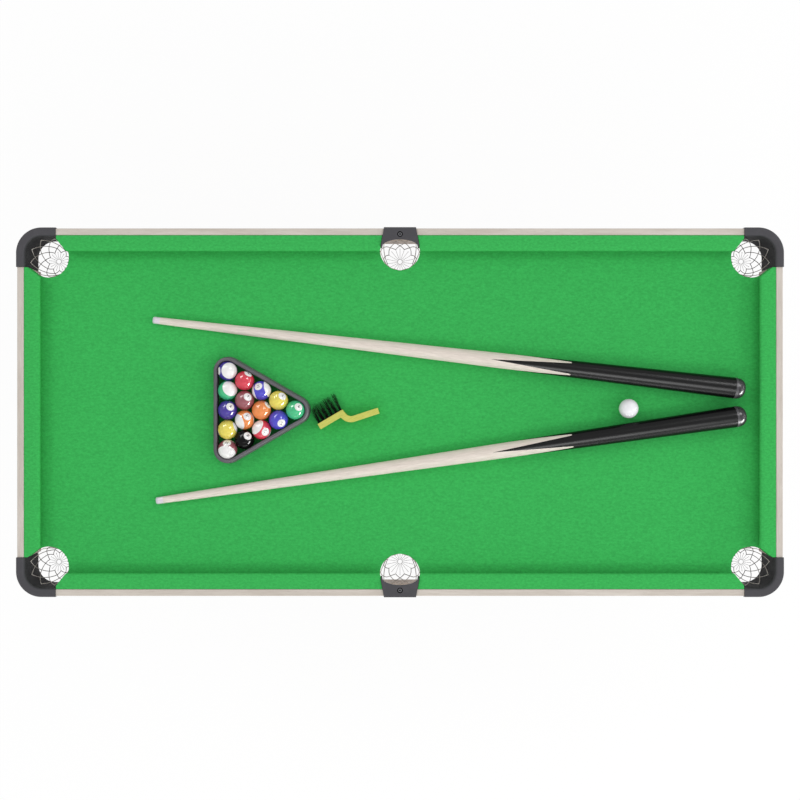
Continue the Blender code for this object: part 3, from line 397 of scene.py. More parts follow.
def cue_finish():
    """A spliced cue: four black points run up into the pale shaft, all under one clear lacquer."""
    made = Finish("cue_lacquer", specular_ior_level=0.17)
    along = made.axis("X")
    taper = (CUE_BUTT_RADIUS - CUE_TIP_RADIUS) / (CUE_LENGTH - CUE_BUMPER_LENGTH)
    start = CUE_BUTT_RADIUS + taper * CUE_BUMPER_LENGTH
    middle = made.math("SUBTRACT", start, made.math("MULTIPLY", along, taper))
    up = made.math("SUBTRACT", made.axis("Z"), middle)
    turn = made.math("ARCTAN2", made.axis("Y"), up)
    points = made.math("ADD", made.math("DIVIDE", turn, math.pi / 2), 0.5)
    from_point = made.math("ABSOLUTE", made.math("SUBTRACT", made.math("FRACT", points), 0.5))
    share = made.math("SUBTRACT", 1.0, made.math("MULTIPLY", from_point, 2.0))
    rise = made.span(share, CUE_TONGUE_SHARE, 1.0, *CUE_SPLICE)
    within = made.span(share, 0.0, CUE_TONGUE_SHARE)
    round_end = made.math("SQRT", made.math("SUBTRACT", 1.0, made.math("POWER", within, 2.0)))
    edge = made.math("SUBTRACT", rise, made.math("MULTIPLY", round_end, CUE_TONGUE_END))
    pale_share = made.span(made.math("SUBTRACT", along, edge), -CUE_SPLICE_SOFT, CUE_SPLICE_SOFT)
    grain = made.noise(30, 5.0, 0.65, (1, 26, 26))
    flecks = made.noise(90, 2.0, 0.5, (1, 14, 14))
    dark = srgb(210, 198, 187)
    pale = made.tone(grain, dark, srgb(232, 222, 212), 0.32, 0.68)
    pale = made.patches(flecks, 0.6, 0.75, 0.4, pale, shaded(dark, 0.8))
    black = made.tone(grain, srgb(6, 6, 7), srgb(13, 13, 14), 0.35, 0.7)
    made.paint(made.mix(pale_share, black, pale))
    made.roughen(pale_share, 0.27, 0.55, 0.0, 1.0)
    made.bump(grain, 0.0001, 0.15)
    return made.material


def lacquer_finish():
    """Painted wood: brush strokes along the handle, and darker blotches."""
    made = Finish("brush_paint", coat_weight=0.25, coat_roughness=0.2, specular_ior_level=0.4)
    strokes = made.noise(60, 5.0, 0.6, (1, 9, 9))
    colour = made.tone(strokes, srgb(188, 188, 78), srgb(207, 206, 99))
    made.paint(made.patches(made.noise(90, 3.0, 0.5), 0.55, 0.8, 0.5, colour, srgb(175, 170, 72)))
    made.roughen(strokes, 0.36, 0.5)
    made.bump(strokes, 0.0002, 0.3)
    return made.material


def bristle_finish():
    """Black hair with paler strands."""
    made = Finish("bristle_hair", specular_ior_level=0.05)
    tint = made.noise(700, 3.0, 0.6, (1, 0.2, 1))
    made.paint(made.tone(tint, srgb(7, 9, 7), srgb(18, 21, 15), 0.35, 0.7))
    made.roughen(tint, 0.45, 0.65)
    return made.material


def spread(start, end, steps):
    """Evenly spaced values, both ends included."""
    return [start + (end - start) * i / steps for i in range(steps + 1)]


def arc(centre, radius, start, end, steps):
    """Points on an arc between two angles in degrees, both ends included."""
    angles = [math.radians(angle) for angle in spread(start, end, steps)]
    return [(centre[0] + radius * math.cos(a), centre[1] + radius * math.sin(a)) for a in angles]


def circle(centre, radius, sides):
    return arc(centre, radius, 0, 360, sides)[:-1]


def loft(rings, closed=False):
    """A form through rings of equally many points: capped at its ends, or closed on itself."""
    size = len(rings[0])
    points = [point for ring in rings for point in ring]
    faces = []
    for k in range(len(rings) if closed else len(rings) - 1):
        here = k * size
        there = (k + 1) % len(rings) * size
        for i in range(size):
            j = (i + 1) % size
            faces.append((here + i, here + j, there + j, there + i))
    if not closed:
        faces.append(tuple(range(size)))
        faces.append(tuple(range(len(points) - size, len(points))))
    return points, faces


def prism(outline, low, high):
    return loft([[(x, y, z) for x, y in outline] for z in (low, high)])


def upright(outline, front, back):
    """An outline in X and Z, run from one Y to another."""
    return loft([[(x, y, z) for x, z in outline] for y in (front, back)])


def turned(profile, sides, at=(0, 0, 0)):
    """A form turned about a vertical axis, from (radius, height) pairs."""
    return loft([[(x, y, at[2] + z) for x, y in circle(at[:2], radius, sides)] for radius, z in profile])


def tube(points, radius, closed=False):
    """A round cord along a line of points."""
    rings = []
    across = None
    count = len(points)
    for i, point in enumerate(points):
        before = points[(i - 1) % count] if closed else points[max(i - 1, 0)]
        after = points[(i + 1) % count] if closed else points[min(i + 1, count - 1)]
        heading = (Vector(after) - Vector(before)).normalized()
        if across is None:
            across = heading.orthogonal().normalized()
        across = (across - heading * across.dot(heading)).normalized()
        other = heading.cross(across)
        ring = []
        for c, s in circle((0, 0), radius, CORD_SIDES):
            ring.append(tuple(Vector(point) + across * c + other * s))
        rings.append(ring)
    return loft(rings, closed)


def bead(at, radius):
    """A small rounded lump, such as a knot."""
    return turned(arc((0, 0), radius, -75, 75, 5), BEAD_SIDES, at)


def joined(forms):
    """Several closed forms as one."""
    points = []
    faces = []
    for form_points, form_faces in forms:
        base = len(points)
        points += form_points
        faces += [tuple(base + i for i in face) for face in form_faces]
    return points, faces


def mirrored(form, sign_x, sign_y):
    points, faces = form
    return [(sign_x * x, sign_y * y, z) for x, y, z in points], faces


def linked(name, data):
    """A new object in the scene for a mesh, a curve, a lamp or a camera."""
    obj = bpy.data.objects.new(name, data)
    bpy.context.collection.objects.link(obj)
    return obj


def meshed(name, shape, finish):
    """A mesh object from a bmesh, which is freed."""
    mesh = bpy.data.meshes.new(name)
    shape.to_mesh(mesh)
    shape.free()
    mesh.materials.append(finish)
    return linked(name, mesh)


def smoothed(obj, angle):
    """Shades an object smooth, apart from edges that turn by more than an angle in degrees."""
    obj.data.shade_smooth()
    obj.data.set_sharp_from_angle(angle=math.radians(angle))
    return obj


def make(name, form, finish, smooth_angle=40):
    """A mesh object from a (points, faces) form."""
    points, faces = form
    shape = bmesh.new()
    corners = [shape.verts.new(point) for point in points]
    for face in faces:
        shape.faces.new([corners[i] for i in face])
    bmesh.ops.recalc_face_normals(shape, faces=shape.faces)
    return smoothed(meshed(name, shape, finish), smooth_angle)


def settle(obj):
    """Writes an object's modifiers into its mesh."""
    bpy.context.view_layer.update()
    evaluated = obj.evaluated_get(bpy.context.evaluated_depsgraph_get())
    finished = bpy.data.meshes.new_from_object(evaluated)
    obj.modifiers.clear()
    obj.data = finished


def shaped(obj, tools, sign_x, sign_y):
    """Joins mirrored helper forms to an object, or cuts them out of it."""
    helpers = []
    for form, operation in tools:
        helper = make("helper", mirrored(form, sign_x, sign_y), obj.data.materials[0])
        helpers.append(helper)
        modifier = obj.modifiers.new("shape", "BOOLEAN")
        modifier.operation = operation
        modifier.object = helper
    settle(obj)
    for helper in helpers:
        bpy.data.objects.remove(helper)
    return obj


def eased(obj, width, segments, angle):
    """Rounds the sharp edges of an object."""
    modifier = obj.modifiers.new("edges", "BEVEL")
    modifier.width = width
    modifier.segments = segments
    modifier.limit_method = "ANGLE"
    modifier.angle_limit = math.radians(angle)
    modifier.use_clamp_overlap = True
    settle(obj)
    smoothed(obj, angle)
    obj.modifiers.new("flat", "WEIGHTED_NORMAL").keep_sharp = True
    settle(obj)
    return obj


def lined(obj, finish, inside):
    """Gives a second finish to the faces whose middle passes a test."""
    obj.data.materials.append(finish)
    for face in obj.data.polygons:
        if inside(*face.center):
            face.material_index = 1


def dress(obj, body, slot, *nodes):
    """Hangs a piece on its body, and hides the nodes that it stands for."""
    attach(obj, body)
    if nodes:
        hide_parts(*nodes)
    return obj


def clad(node, finish):
    """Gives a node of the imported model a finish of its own."""
    mesh = frame["nodes"][node].data
    mesh.materials.clear()
    mesh.materials.append(finish)


def middle_of(node):
    low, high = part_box(node)
    return (low + high) / 2


def on_cloth(x, y, heading):
    """The place of a piece that lies on the cloth, turned by a heading in degrees."""
    return Matrix.Translation((x, y, ON_CLOTH)) @ Matrix.Rotation(math.radians(heading), 4, "Z")


# Bed cloth

POCKET_FINE_STEPS = 40
CLOTH_EDGE_ROUND = 0.0004


def bed_outline():
    """The bed between the rail lips, with a slot at each corner pocket and a notch at each side one."""
    edge_x = LIP_X - SEAT_GAP
    edge_y = LIP_Y - SEAT_GAP
    x, y = CORNER_POCKET
    reach = Vector((edge_x - x, CAP_END[1] - y))
    bearing = math.degrees(math.atan2(reach.y, reach.x))
    start = bearing - math.degrees(math.acos(POCKET_RADIUS / reach.length))
    bend = arc(CORNER_POCKET, POCKET_RADIUS, start, -270 - start, POCKET_FINE_STEPS)
    corner = [(edge_x, CAP_END[1]), *bend, (CAP_END[0], edge_y)]
    rise = math.degrees(math.asin((edge_y - SIDE_POCKET_Y) / POCKET_RADIUS))
    notch = arc((0, SIDE_POCKET_Y), POCKET_RADIUS, rise, -180 - rise, POCKET_FINE_STEPS)
    back = corner + notch + [(-px, py) for px, py in reversed(corner)]
    return back + [(-px, -py) for px, py in back]


def make_bed(green):
    outline = bed_outline()
    cloth = make("bed_cloth", prism(outline, CLOTH_TOP - CLOTH_THICKNESS, CLOTH_TOP), green)
    eased(cloth, CLOTH_EDGE_ROUND, 2, 60)
    dress(cloth, "table", "bed_cloth", "playing_cloth")
    clad("playfield_board", fibreboard())


# Cushions

CUSHION_CROWN_STEPS = 12
CUSHION_BACK_ROUND = 0.0016
CUSHION_EDGE_ROUND = 0.0011

# Where the crown meets the flat top: how far back in roundings of the nose, and how far below the rail
CUSHION_BROW = ((1.55, 0.00012), (2.2, 0.0))


def cushion_section():
    """Cushion points as (distance from the rail lip, height), with the cloth tucked in at the rail."""
    nose = CLOTH_TOP + CUSHION_NOSE_HEIGHT
    r = CUSHION_NOSE_ROUND
    crown = arc((CUSHION_DEPTH - r, nose), r, -30, 68, CUSHION_CROWN_STEPS)
    tuck = CUSHION_BACK_ROUND
    rail_edge = arc((SEAT_GAP + tuck, RAIL_HEIGHT - tuck), tuck, 90, 180, 5)
    return [
        (SEAT_GAP, ON_CLOTH),
        (CORNER_JAW_SQUARE, ON_CLOTH),
        (CUSHION_BASE, ON_CLOTH),
        *crown,
        *((CUSHION_DEPTH - back * r, RAIL_HEIGHT - drop) for back, drop in CUSHION_BROW),
        (CORNER_JAW_SQUARE, RAIL_HEIGHT),
        *rail_edge,
    ]


def cushion_form(start, end, lip, along_y):
    """A cushion with (back, nose, square) ends: cut square to that depth, then slanting to the nose."""
    section = cushion_section()
    rings = []
    for back, nose, square in (start, end):
        ring = []
        for depth, z in section:
            run = back + (nose - back) * max(0.0, depth - square) / (CUSHION_DEPTH - square)
            out = lip - depth
            ring.append((out, run, z) if along_y else (run, out, z))
        rings.append(ring)
    points, faces = loft(rings)
    kink = section.index((CORNER_JAW_SQUARE, RAIL_HEIGHT))
    caps = [list(face) for face in faces[-2:]]
    faces = faces[:-2]
    for cap in caps:
        faces += [cap[:2] + cap[kink:], cap[1:kink + 1]]
    return points, faces


def side_cap_half_width(y):
    return SIDE_CAP_HALF_WIDTH + SIDE_CAP_FLARE * (HALF_WIDTH + CAP_PROUD - y)


def make_cushion(name, form, green):
    cushion = eased(make(name + "_cover", form, green), CUSHION_EDGE_ROUND, 3, 50)
    dress(cushion, "table", "cushion_cloth", name)


def make_cushions(green):
    inner = (side_cap_half_width(LIP_Y) + SEAT_GAP, side_cap_half_width(NOSE_Y) + SEAT_GAP, 0.0)
    outer = (CAP_END[0] - SEAT_GAP, CORNER_POCKET[0] - CORNER_JAW, CORNER_JAW_SQUARE)
    long_form = cushion_form(inner, outer, LIP_Y, False)
    for corner, *signs in CORNERS:
        make_cushion(f"cushion_{corner}", mirrored(long_form, *signs), green)
    back = CAP_END[1] - SEAT_GAP
    nose = CORNER_POCKET[1] - CORNER_JAW
    jaws = [(way * back, way * nose, CORNER_JAW_SQUARE) for way in (-1, 1)]
    end_form = cushion_form(*jaws, LIP_X, True)
    for end, sign_x in ENDS:
        make_cushion(f"cushion_{end}", mirrored(end_form, sign_x, 1), green)


# Rails

WOOD_LIGHT = srgb(214, 206, 197)
WOOD_DARK = srgb(190, 180, 169)
WOOD_BARE_FROM = 0.0004


def make_rails():
    long_wood = wood_finish("rail_wood_long", "X", LIP_Y - WOOD_BARE_FROM)
    short_wood = wood_finish("rail_wood_short", "Y", LIP_X - WOOD_BARE_FROM)
    for side, _ in SIDES:
        clad(f"apron_{side}", long_wood)
    for end, _ in ENDS:
        clad(f"apron_{end}", short_wood)


# Corner caps

CAP_FINE_STEPS = 30
CAP_OUTER_ROUND = 0.0035
CAP_INNER_ROUND = 0.0055
CAP_EDGE_ROUND = 0.0006
CAP_BAND = 0.0170
CAP_LIP_RETURN = 0.0125
CAP_LINER_FROM = RAIL_LIP + CAP_PROUD - 0.0010
CAP_LINER_DROP = 0.0012
# Height over which painted shade fades the cap's grey into the liner's black
CAP_LINER_SHADE_FADE = 0.007


def cap_section():
    """Corner cap points as (distance in from its outer face, height): a wall under a rolled band."""
    wall = RAIL_LIP + CAP_PROUD
    roll = CAP_INNER_ROUND
    inner_edge = arc((CAP_BAND - roll, CAP_TOP - roll), roll, -10, 90, 8)
    outer_edge = arc((CAP_OUTER_ROUND, CAP_TOP - CAP_OUTER_ROUND), CAP_OUTER_ROUND, 90, 180, 6)
    return [
        (0, APRON_BOTTOM),
        (wall, APRON_BOTTOM),
        (wall, CAP_TOP - CAP_LIP_RETURN),
        *inner_edge,
        *outer_edge,
    ]


def corner_cap_form():
    out_x = HALF_LENGTH + CAP_PROUD
    out_y = HALF_WIDTH + CAP_PROUD
    middle = (out_x - CAP_CORNER_RADIUS, out_y - CAP_CORNER_RADIUS)
    bend = arc(middle, CAP_CORNER_RADIUS, 90, 0, CAP_FINE_STEPS)
    turns = spread(90, 0, CAP_FINE_STEPS)
    stations = [((CAP_END[0], out_y), 90), *zip(bend, turns), ((out_x, CAP_END[1]), 0)]
    rings = []
    for (x, y), angle in stations:
        outward = (math.cos(math.radians(angle)), math.sin(math.radians(angle)))
        rings.append([(x - n * outward[0], y - n * outward[1], z) for n, z in cap_section()])
    return loft(rings)


def inward(x, y):
    """How far a place on a corner cap lies in from the cap's outer face."""
    from_x = HALF_LENGTH + CAP_PROUD - abs(x)
    from_y = HALF_WIDTH + CAP_PROUD - abs(y)
    r = CAP_CORNER_RADIUS
    if from_x < r and from_y < r:
        return r - math.hypot(r - from_x, r - from_y)
    return min(from_x, from_y)


def lies_inside(x, y, z):
    """Whether a place on a corner cap faces the pocket, below the rolled edge."""
    return inward(x, y) > CAP_LINER_FROM and z < CAP_TOP - CAP_LINER_DROP


def make_corner_caps(plastic):
    liner = liner_finish()
    form = corner_cap_form()
    for corner, *signs in CORNERS:
        name = f"corner_cap_{corner}"
        cap = make(name + "_shell", mirrored(form, *signs), plastic, 50)
        lined(eased(cap, CAP_EDGE_ROUND, 2, 55), liner, lies_inside)
        dress(cap, "table", "cap_plastic", name)


# Side caps and screws

SIDE_CAP_FINE_STEPS = 40
SIDE_CAP_EDGE_ROUND = 0.0007
SCREW_Y = HALF_WIDTH - SIDE_SCREW_INSET
SCREW_RIM = -2 * SEAT_GAP
SCREW_SIDES = 40
SCREW_DISH_RADIUS = 0.0056
SCREW_SEEN_RADIUS = 0.0036
SCREW_POINT_LENGTH = 0.003
SCREW_POINT_SHARE = 0.2
CROSS_REACH = 0.0022
CROSS_HALF_WIDTH = 0.0011
CROSS_DEPTH = 0.0024
CROSS_TAPER = 0.45
CROSS_OVERRUN = 0.001

# The dome of a screw's head, as (share of its radius, seat gaps below the cap's top)
SCREW_DOME = ((0.25, 0.4), (0.65, 0.7), (0.93, 1.2), (1.0, 2.0))


def side_cap_outline():
    """The back side cap seen from above: a flared plate with a hollow mouth over the pocket."""
    out_y = HALF_WIDTH + CAP_PROUD
    tip_y = NOSE_Y + SIDE_CAP_TIP_SETBACK
    tip = side_cap_half_width(tip_y)
    rise = HALF_WIDTH - SIDE_CAP_MOUTH_SETBACK - tip_y
    half = tip - SIDE_CAP_TIP_WIDTH
    mouth = [(half * c, tip_y + rise * s) for c, s in arc((0, 0), 1, 180, 0, SIDE_CAP_FINE_STEPS)]
    wide = SIDE_CAP_HALF_WIDTH
    return mouth + [(tip, tip_y), (wide, out_y), (-wide, out_y), (-tip, tip_y)]


def side_cap_skirt():
    low_y = NOSE_Y + SIDE_CAP_TIP_SETBACK
    high_y = LIP_Y - SEAT_GAP
    low = side_cap_half_width(low_y)
    high = side_cap_half_width(high_y)
    thick = SIDE_CAP_SKIRT
    return ((low - thick, low_y), (low, low_y), (high, high_y), (high - thick, high_y))


def box_outline(low, high):
    return ((low[0], low[1]), (high[0], low[1]), (high[0], high[1]), (low[0], high[1]))


def turned_at_screw(profile):
    return turned(profile, SCREW_SIDES, (0, SCREW_Y, CAP_TOP))


def screw_hole():
    """The hole in a side cap: a steep dish that the screw's head lies at the bottom of."""
    shank = SCREW_SHANK_RADIUS + SEAT_GAP
    return turned_at_screw((
        (SCREW_DISH_RADIUS, SCREW_HEAD_HEIGHT),
        (SCREW_DISH_RADIUS, -SEAT_GAP),
        (SCREW_HEAD_RADIUS, SCREW_RIM - SCREW_HEAD_HEIGHT / 2),
        (shank, SCREW_RIM - SCREW_HEAD_HEIGHT),
        (shank, -SCREW_LENGTH),
    ))


def screw_form():
    """A countersunk screw with a slightly domed head."""
    head = SCREW_SEEN_RADIUS
    return turned_at_screw((
        *((head * share, -SEAT_GAP * gaps) for share, gaps in SCREW_DOME),
        (head, SCREW_RIM - SEAT_GAP * 2.0),
        (SCREW_SHANK_RADIUS, SCREW_RIM - SCREW_HEAD_HEIGHT),
        (SCREW_SHANK_RADIUS, -SCREW_LENGTH + SCREW_POINT_LENGTH),
        (SCREW_SHANK_RADIUS * SCREW_POINT_SHARE, -SCREW_LENGTH),
    ))


def cross_recess():
    """The two blades of a screwdriver's cross, tapering into the head."""
    blades = []
    for long_x, long_y in ((CROSS_REACH, CROSS_HALF_WIDTH), (CROSS_HALF_WIDTH, CROSS_REACH)):
        rings = []
        for share, z in ((CROSS_TAPER, CAP_TOP - CROSS_DEPTH), (1.0, CAP_TOP + CROSS_OVERRUN)):
            low = (-long_x * share, SCREW_Y - long_y * share)
            high = (long_x * share, SCREW_Y + long_y * share)
            rings.append([(x, y, z) for x, y in box_outline(low, high)])
        blades.append((loft(rings), "DIFFERENCE"))
    return blades


def from_screw(x, y):
    """How far a place lies from the axis of the screw on its side."""
    return math.hypot(x, abs(y) - SCREW_Y)


# Faces of a side cap's dish, which take painted shade
def lies_in_dish(x, y, _z):
    return from_screw(x, y) < SCREW_DISH_RADIUS


# Faces of the cross in a screw's head, which take painted shade
def lies_in_cross(x, y, z):
    deep = CAP_TOP - CROSS_DEPTH - SEAT_GAP < z < CAP_TOP - SEAT_GAP * 1.5
    return deep and from_screw(x, y) < CROSS_REACH


def side_cap_tools():
    """What is joined to a side cap's plate and cut out of it."""
    within_plate = (RAIL_HEIGHT + SEAT_GAP + CAP_TOP) / 2
    lip_low = (-SIDE_CAP_HALF_WIDTH, HALF_WIDTH + SEAT_GAP)
    lip_high = (SIDE_CAP_HALF_WIDTH, HALF_WIDTH + CAP_PROUD)
    lip = prism(box_outline(lip_low, lip_high), RAIL_HEIGHT - SIDE_CAP_LIP_DROP, within_plate)
    skirt = prism(side_cap_skirt(), ON_CLOTH, within_plate)
    joins = (lip, skirt, mirrored(skirt, -1, 1))
    return [*((form, "UNION") for form in joins), (screw_hole(), "DIFFERENCE")]


def make_side_caps(plastic):
    # The screw is black oxide; its mid grey is partly a painted highlight.
    oxide = moulded_finish("screw_black_oxide", srgb(92, 92, 97), 0.34, 1800, 0.00004)
    # The dish round each screw and the cross in its head are near black: painted shade in the hollows.
    dish = moulded_finish("screw_dish", srgb(10, 10, 11), 0.7, 1500, 0.0001, 0.1)
    plate = prism(side_cap_outline(), RAIL_HEIGHT + SEAT_GAP, CAP_TOP)
    for side, sign in SIDES:
        name = f"side_cap_{side}"
        cap = make(name + "_shell", mirrored(plate, 1, sign), plastic)
        shaped(cap, side_cap_tools(), 1, sign)
        lined(eased(cap, SIDE_CAP_EDGE_ROUND, 3, 50), dish, lies_in_dish)
        dress(cap, "table", "cap_plastic", name)
        screw = make(f"side_cap_screw_{side}_head", mirrored(screw_form(), 1, sign), oxide)
        shaped(screw, cross_recess(), 1, sign)
        lined(screw, dish, lies_in_cross)
        dress(screw, "table", "screw_steel", f"side_cap_screw_{side}")


# Pocket nets

CORD_SIDES = 6
BEAD_SIDES = 8
NET_POINTS = 9
NET_SIDE_ROWS = (0.0, 0.333, 0.667, 1.0)
NET_CORNER_ROWS = (*NET_SIDE_ROWS, 1.36)
NET_WALL_CURVE = 1.1
NET_FLOOR_SHARE = 0.90
NET_FLOOR_DIP = 0.07
# Share of the bag's depth over which painted shade darkens the cord
NET_SHADED_SHARE = 0.8
NET_SAG_FROM = 0.2
NET_CORD = 0.0007
NET_FLOOR_CORD = 0.0003
NET_KNOT = 0.0010
NET_RING_RADIUS = 0.0048
NET_RING_STEPS = 24
NET_SIDE_SAG = 0.0055
NET_LOW_RADIUS = 0.026
NET_STRAND_STEPS = 4
NET_SPOKE_STEPS = 5
NET_CORNER_PHASE = 25.0
NET_SIDE_PHASE = 90.0


def corner_rim(_angle):
    return POCKET_RADIUS - NET_CLEARANCE


def side_rim(angle):
    """Distance from the middle of the back side net to the pocket's edge or the apron."""
    radius = POCKET_RADIUS - NET_CLEARANCE
    rise = SIDE_NET_Y - SIDE_POCKET_Y
    along = rise * math.sin(angle)
    to_edge = -along + math.sqrt(along**2 + radius**2 - rise**2)
    if math.sin(angle) <= 0:
        return to_edge
    return min(to_edge, (APRON_FACE_Y - NET_CLEARANCE - SIDE_NET_Y) / math.sin(angle))


def net_point(middle, rim, sag, turn, share):
    """A place on the bag: share 0 is its rim, 1 the edge of its floor, and 2 the floor's middle ring.

    The sag is how far the bag's floor hangs towards the table's middle.
    """
    angle = math.radians(turn)
    edge = rim(angle) - NET_CORD
    low = min(edge, NET_LOW_RADIUS)
    if share <= 1:
        distance = edge + (low - edge) * share**NET_WALL_CURVE
        drop = share * NET_FLOOR_SHARE
    else:
        distance = low + (NET_RING_RADIUS - low) * (share - 1)
        drop = NET_FLOOR_SHARE + NET_FLOOR_DIP * math.sin((share - 1) * math.pi / 2)
    z = NET_TOP - NET_CORD - NET_DEPTH * drop
    hang = min(1.0, max(0.0, share - NET_SAG_FROM) / (1 - NET_SAG_FROM))
    y = middle[1] + distance * math.sin(angle) - sag * hang
    return (middle[0] + distance * math.cos(angle), y, z)


def net_line(bag, turns, shares, steps):
    """A cord on a bag, between two turns and two shares."""
    places = zip(spread(*turns, steps), spread(*shares, steps))
    return [net_point(*bag, turn, share) for turn, share in places]


def net_form(bag, phase, row_shares):
    """A knotted bag: rows of diamonds that hang from points on the rim, gathered on a small ring.

    The bag is its (middle, rim, sag).
    """
    step = 360 / NET_POINTS
    forms = []
    for row, shares in enumerate(zip(row_shares, row_shares[1:])):
        for point in range(NET_POINTS):
            start = phase + point * step + (step / 2 if row % 2 else 0)
            for end in (start - step / 2, start + step / 2):
                forms.append(tube(net_line(bag, (start, end), shares, NET_STRAND_STEPS), NET_CORD))
            forms.append(bead(net_point(*bag, start, shares[0]), NET_KNOT))
    for point in range(2 * NET_POINTS):
        turn = phase + point * step / 2
        spoke = net_line(bag, (turn, turn), (row_shares[-1], 2), NET_SPOKE_STEPS)
        forms.append(tube(spoke, NET_FLOOR_CORD))
        forms.append(bead(spoke[0], NET_CORD))
    ring = net_line(bag, (0, 360), (2, 2), NET_RING_STEPS)[:-1]
    forms.append(tube(ring, NET_FLOOR_CORD, True))
    return joined(forms)


def make_nets():
    twine = net_finish()
    side_form = net_form(((0, SIDE_NET_Y), side_rim, NET_SIDE_SAG), NET_SIDE_PHASE, NET_SIDE_ROWS)
    corner_form = net_form((CORNER_POCKET, corner_rim, 0.0), NET_CORNER_PHASE, NET_CORNER_ROWS)
    for side, sign_y in SIDES:
        name = f"pocket_net_{side}"
        dress(make(name + "_mesh", mirrored(side_form, 1, sign_y), twine, 60), "table", "net_cord", name)
        for end, sign_x in ENDS:
            corner = f"{name}_{end}"
            net = make(corner + "_mesh", mirrored(corner_form, sign_x, sign_y), twine, 60)
            dress(net, "table", "net_cord", corner)


# Folding legs

LEG_CORNER_ROUND = 0.003
LEG_BORE_ROUND = 0.0012
LEG_CAP_ROUND = 0.0012
LEG_CAP_STEP = 0.0004
LEG_SMOOTH_ANGLE = 35
STRETCHER_ROUND = 0.001
PIVOT_WELD_RADIUS = 0.00128
PIVOT_WELD_ANGLE = 62
PIVOT_WELD_STEPS = 19
STRETCHER_WELD_RADIUS = 0.00112
STRETCHER_WELD_STEPS = 8
FOOT_SIDES = 48
FOOT_PLUG_EASE = 0.001
FOOT_PLUG_SHARE = 0.9

# A foot's pad from its tread up, as (share of its radius, height)
FOOT_PROFILE = (
    (0.45, 0.0008), (0.55, 0.0), (0.84, 0.0), (0.93, 0.0006), (0.97, 0.0017), (1.0, 0.0028), (1.0, 0.0036),
    (0.965, 0.0040), (0.965, 0.0044), (1.0, 0.0048), (1.0, 0.0066), (0.97, 0.0076), (0.92, FOOT_PAD_HEIGHT),
)


def tube_ring(x, y, half, corner, z):
    ring = []
    for turn, (sx, sy) in ((0, (1, 1)), (90, (-1, 1)), (180, (-1, -1)), (270, (1, -1))):
        centre = (x + sx * (half - corner), y + sy * (half - corner))
        ring += [(px, py, z) for px, py in arc(centre, corner, turn, turn + 90, 5)]
    return ring


def leg_tube_form(y):
    """One square tube: open at its foot, closed on top by a rounded cap."""
    half = LEG_TUBE / 2
    bore = half - LEG_TUBE_WALL
    return loft([tube_ring(LEG_X, y, *ring) for ring in (
        (bore, LEG_BORE_ROUND, LEG_BORE_TOP),
        (bore, LEG_BORE_ROUND, LEG_BOTTOM),
        (half, LEG_CORNER_ROUND, LEG_BOTTOM),
        (half, LEG_CORNER_ROUND, LEG_TOP - LEG_CAP_ROUND),
        (half - LEG_CAP_STEP, LEG_CORNER_ROUND, LEG_TOP - LEG_CAP_STEP),
        (half - LEG_CAP_ROUND, LEG_CORNER_ROUND, LEG_TOP),
    )])


def bar_outline(start, end, half_width, steps=10):
    heading = math.degrees(math.atan2(end[1] - start[1], end[0] - start[0]))
    far = arc(end, half_width, heading - 90, heading + 90, steps)
    near = arc(start, half_width, heading + 90, heading + 270, steps)
    return far + near


def stretcher_outline():
    """The stretcher's section in X and Z, with rounded corners."""
    thick = STRETCHER_THICKNESS / 2 - STRETCHER_ROUND
    half = STRETCHER_HEIGHT / 2 - STRETCHER_ROUND
    outline = []
    for turn, sign_x, sign_z in ((180, -1, 1), (90, 1, 1), (0, 1, -1), (-90, -1, -1)):
        centre = (LEG_X + sign_x * thick, STAY_LEG_PIVOT[1] + sign_z * half)
        outline += arc(centre, STRETCHER_ROUND, turn, turn - 90, 3)
    return outline


def welds():
    """Beads where the pivot bar and the stretcher meet the tubes."""
    forms = []
    seam = arc(PIVOT, PIVOT_RADIUS, -PIVOT_WELD_ANGLE, PIVOT_WELD_ANGLE, PIVOT_WELD_STEPS)
    low = STAY_LEG_PIVOT[1] - STRETCHER_HEIGHT / 2
    heights = spread(low, low + STRETCHER_HEIGHT, STRETCHER_WELD_STEPS)
    for sign in (-1, 1):
        y = sign * (LEG_HALF_SPREAD - LEG_TUBE / 2)
        forms.append(tube([(x, y, z) for x, z in seam], PIVOT_WELD_RADIUS))
        for face in (-1, 1):
            x = LEG_X + face * STRETCHER_THICKNESS / 2
            forms.append(tube([(x, y, z) for z in heights], STRETCHER_WELD_RADIUS))
    return forms


def make_leg_frames(steel):
    within_wall = LEG_HALF_SPREAD - LEG_TUBE / 2 + LEG_TUBE_WALL / 2
    bar = upright(circle(PIVOT, PIVOT_RADIUS, 40), -LEG_HALF_SPREAD, LEG_HALF_SPREAD)
    stretcher = upright(stretcher_outline(), -within_wall, within_wall)
    front = SEAT_GAP * 1.5 + STAY_THICKNESS
    tab_outline = bar_outline(STAY_LEG_PIVOT, (LEG_X - STAY_HALF_WIDTH, STAY_LEG_PIVOT[1]), STAY_HALF_WIDTH)
    tab = upright(tab_outline, front, front + STAY_THICKNESS)
    hole = upright(circle(STAY_LEG_PIVOT, STAY_PIN_RADIUS + SEAT_GAP, 24), 0, front + 2 * STAY_THICKNESS)
    joins = [leg_tube_form(-LEG_HALF_SPREAD), leg_tube_form(LEG_HALF_SPREAD), stretcher, tab]
    tools = [*((form, "UNION") for form in joins), (hole, "DIFFERENCE")]
    tools += [(form, "UNION") for form in welds()]
    for end, sign in ENDS:
        name = f"leg_frame_{end}"
        leg = make(name + "_coated", mirrored(bar, sign, 1), steel)
        shaped(leg, tools, sign, 1)
        dress(smoothed(leg, LEG_SMOOTH_ANGLE), f"leg_{end}", "leg_steel", name)


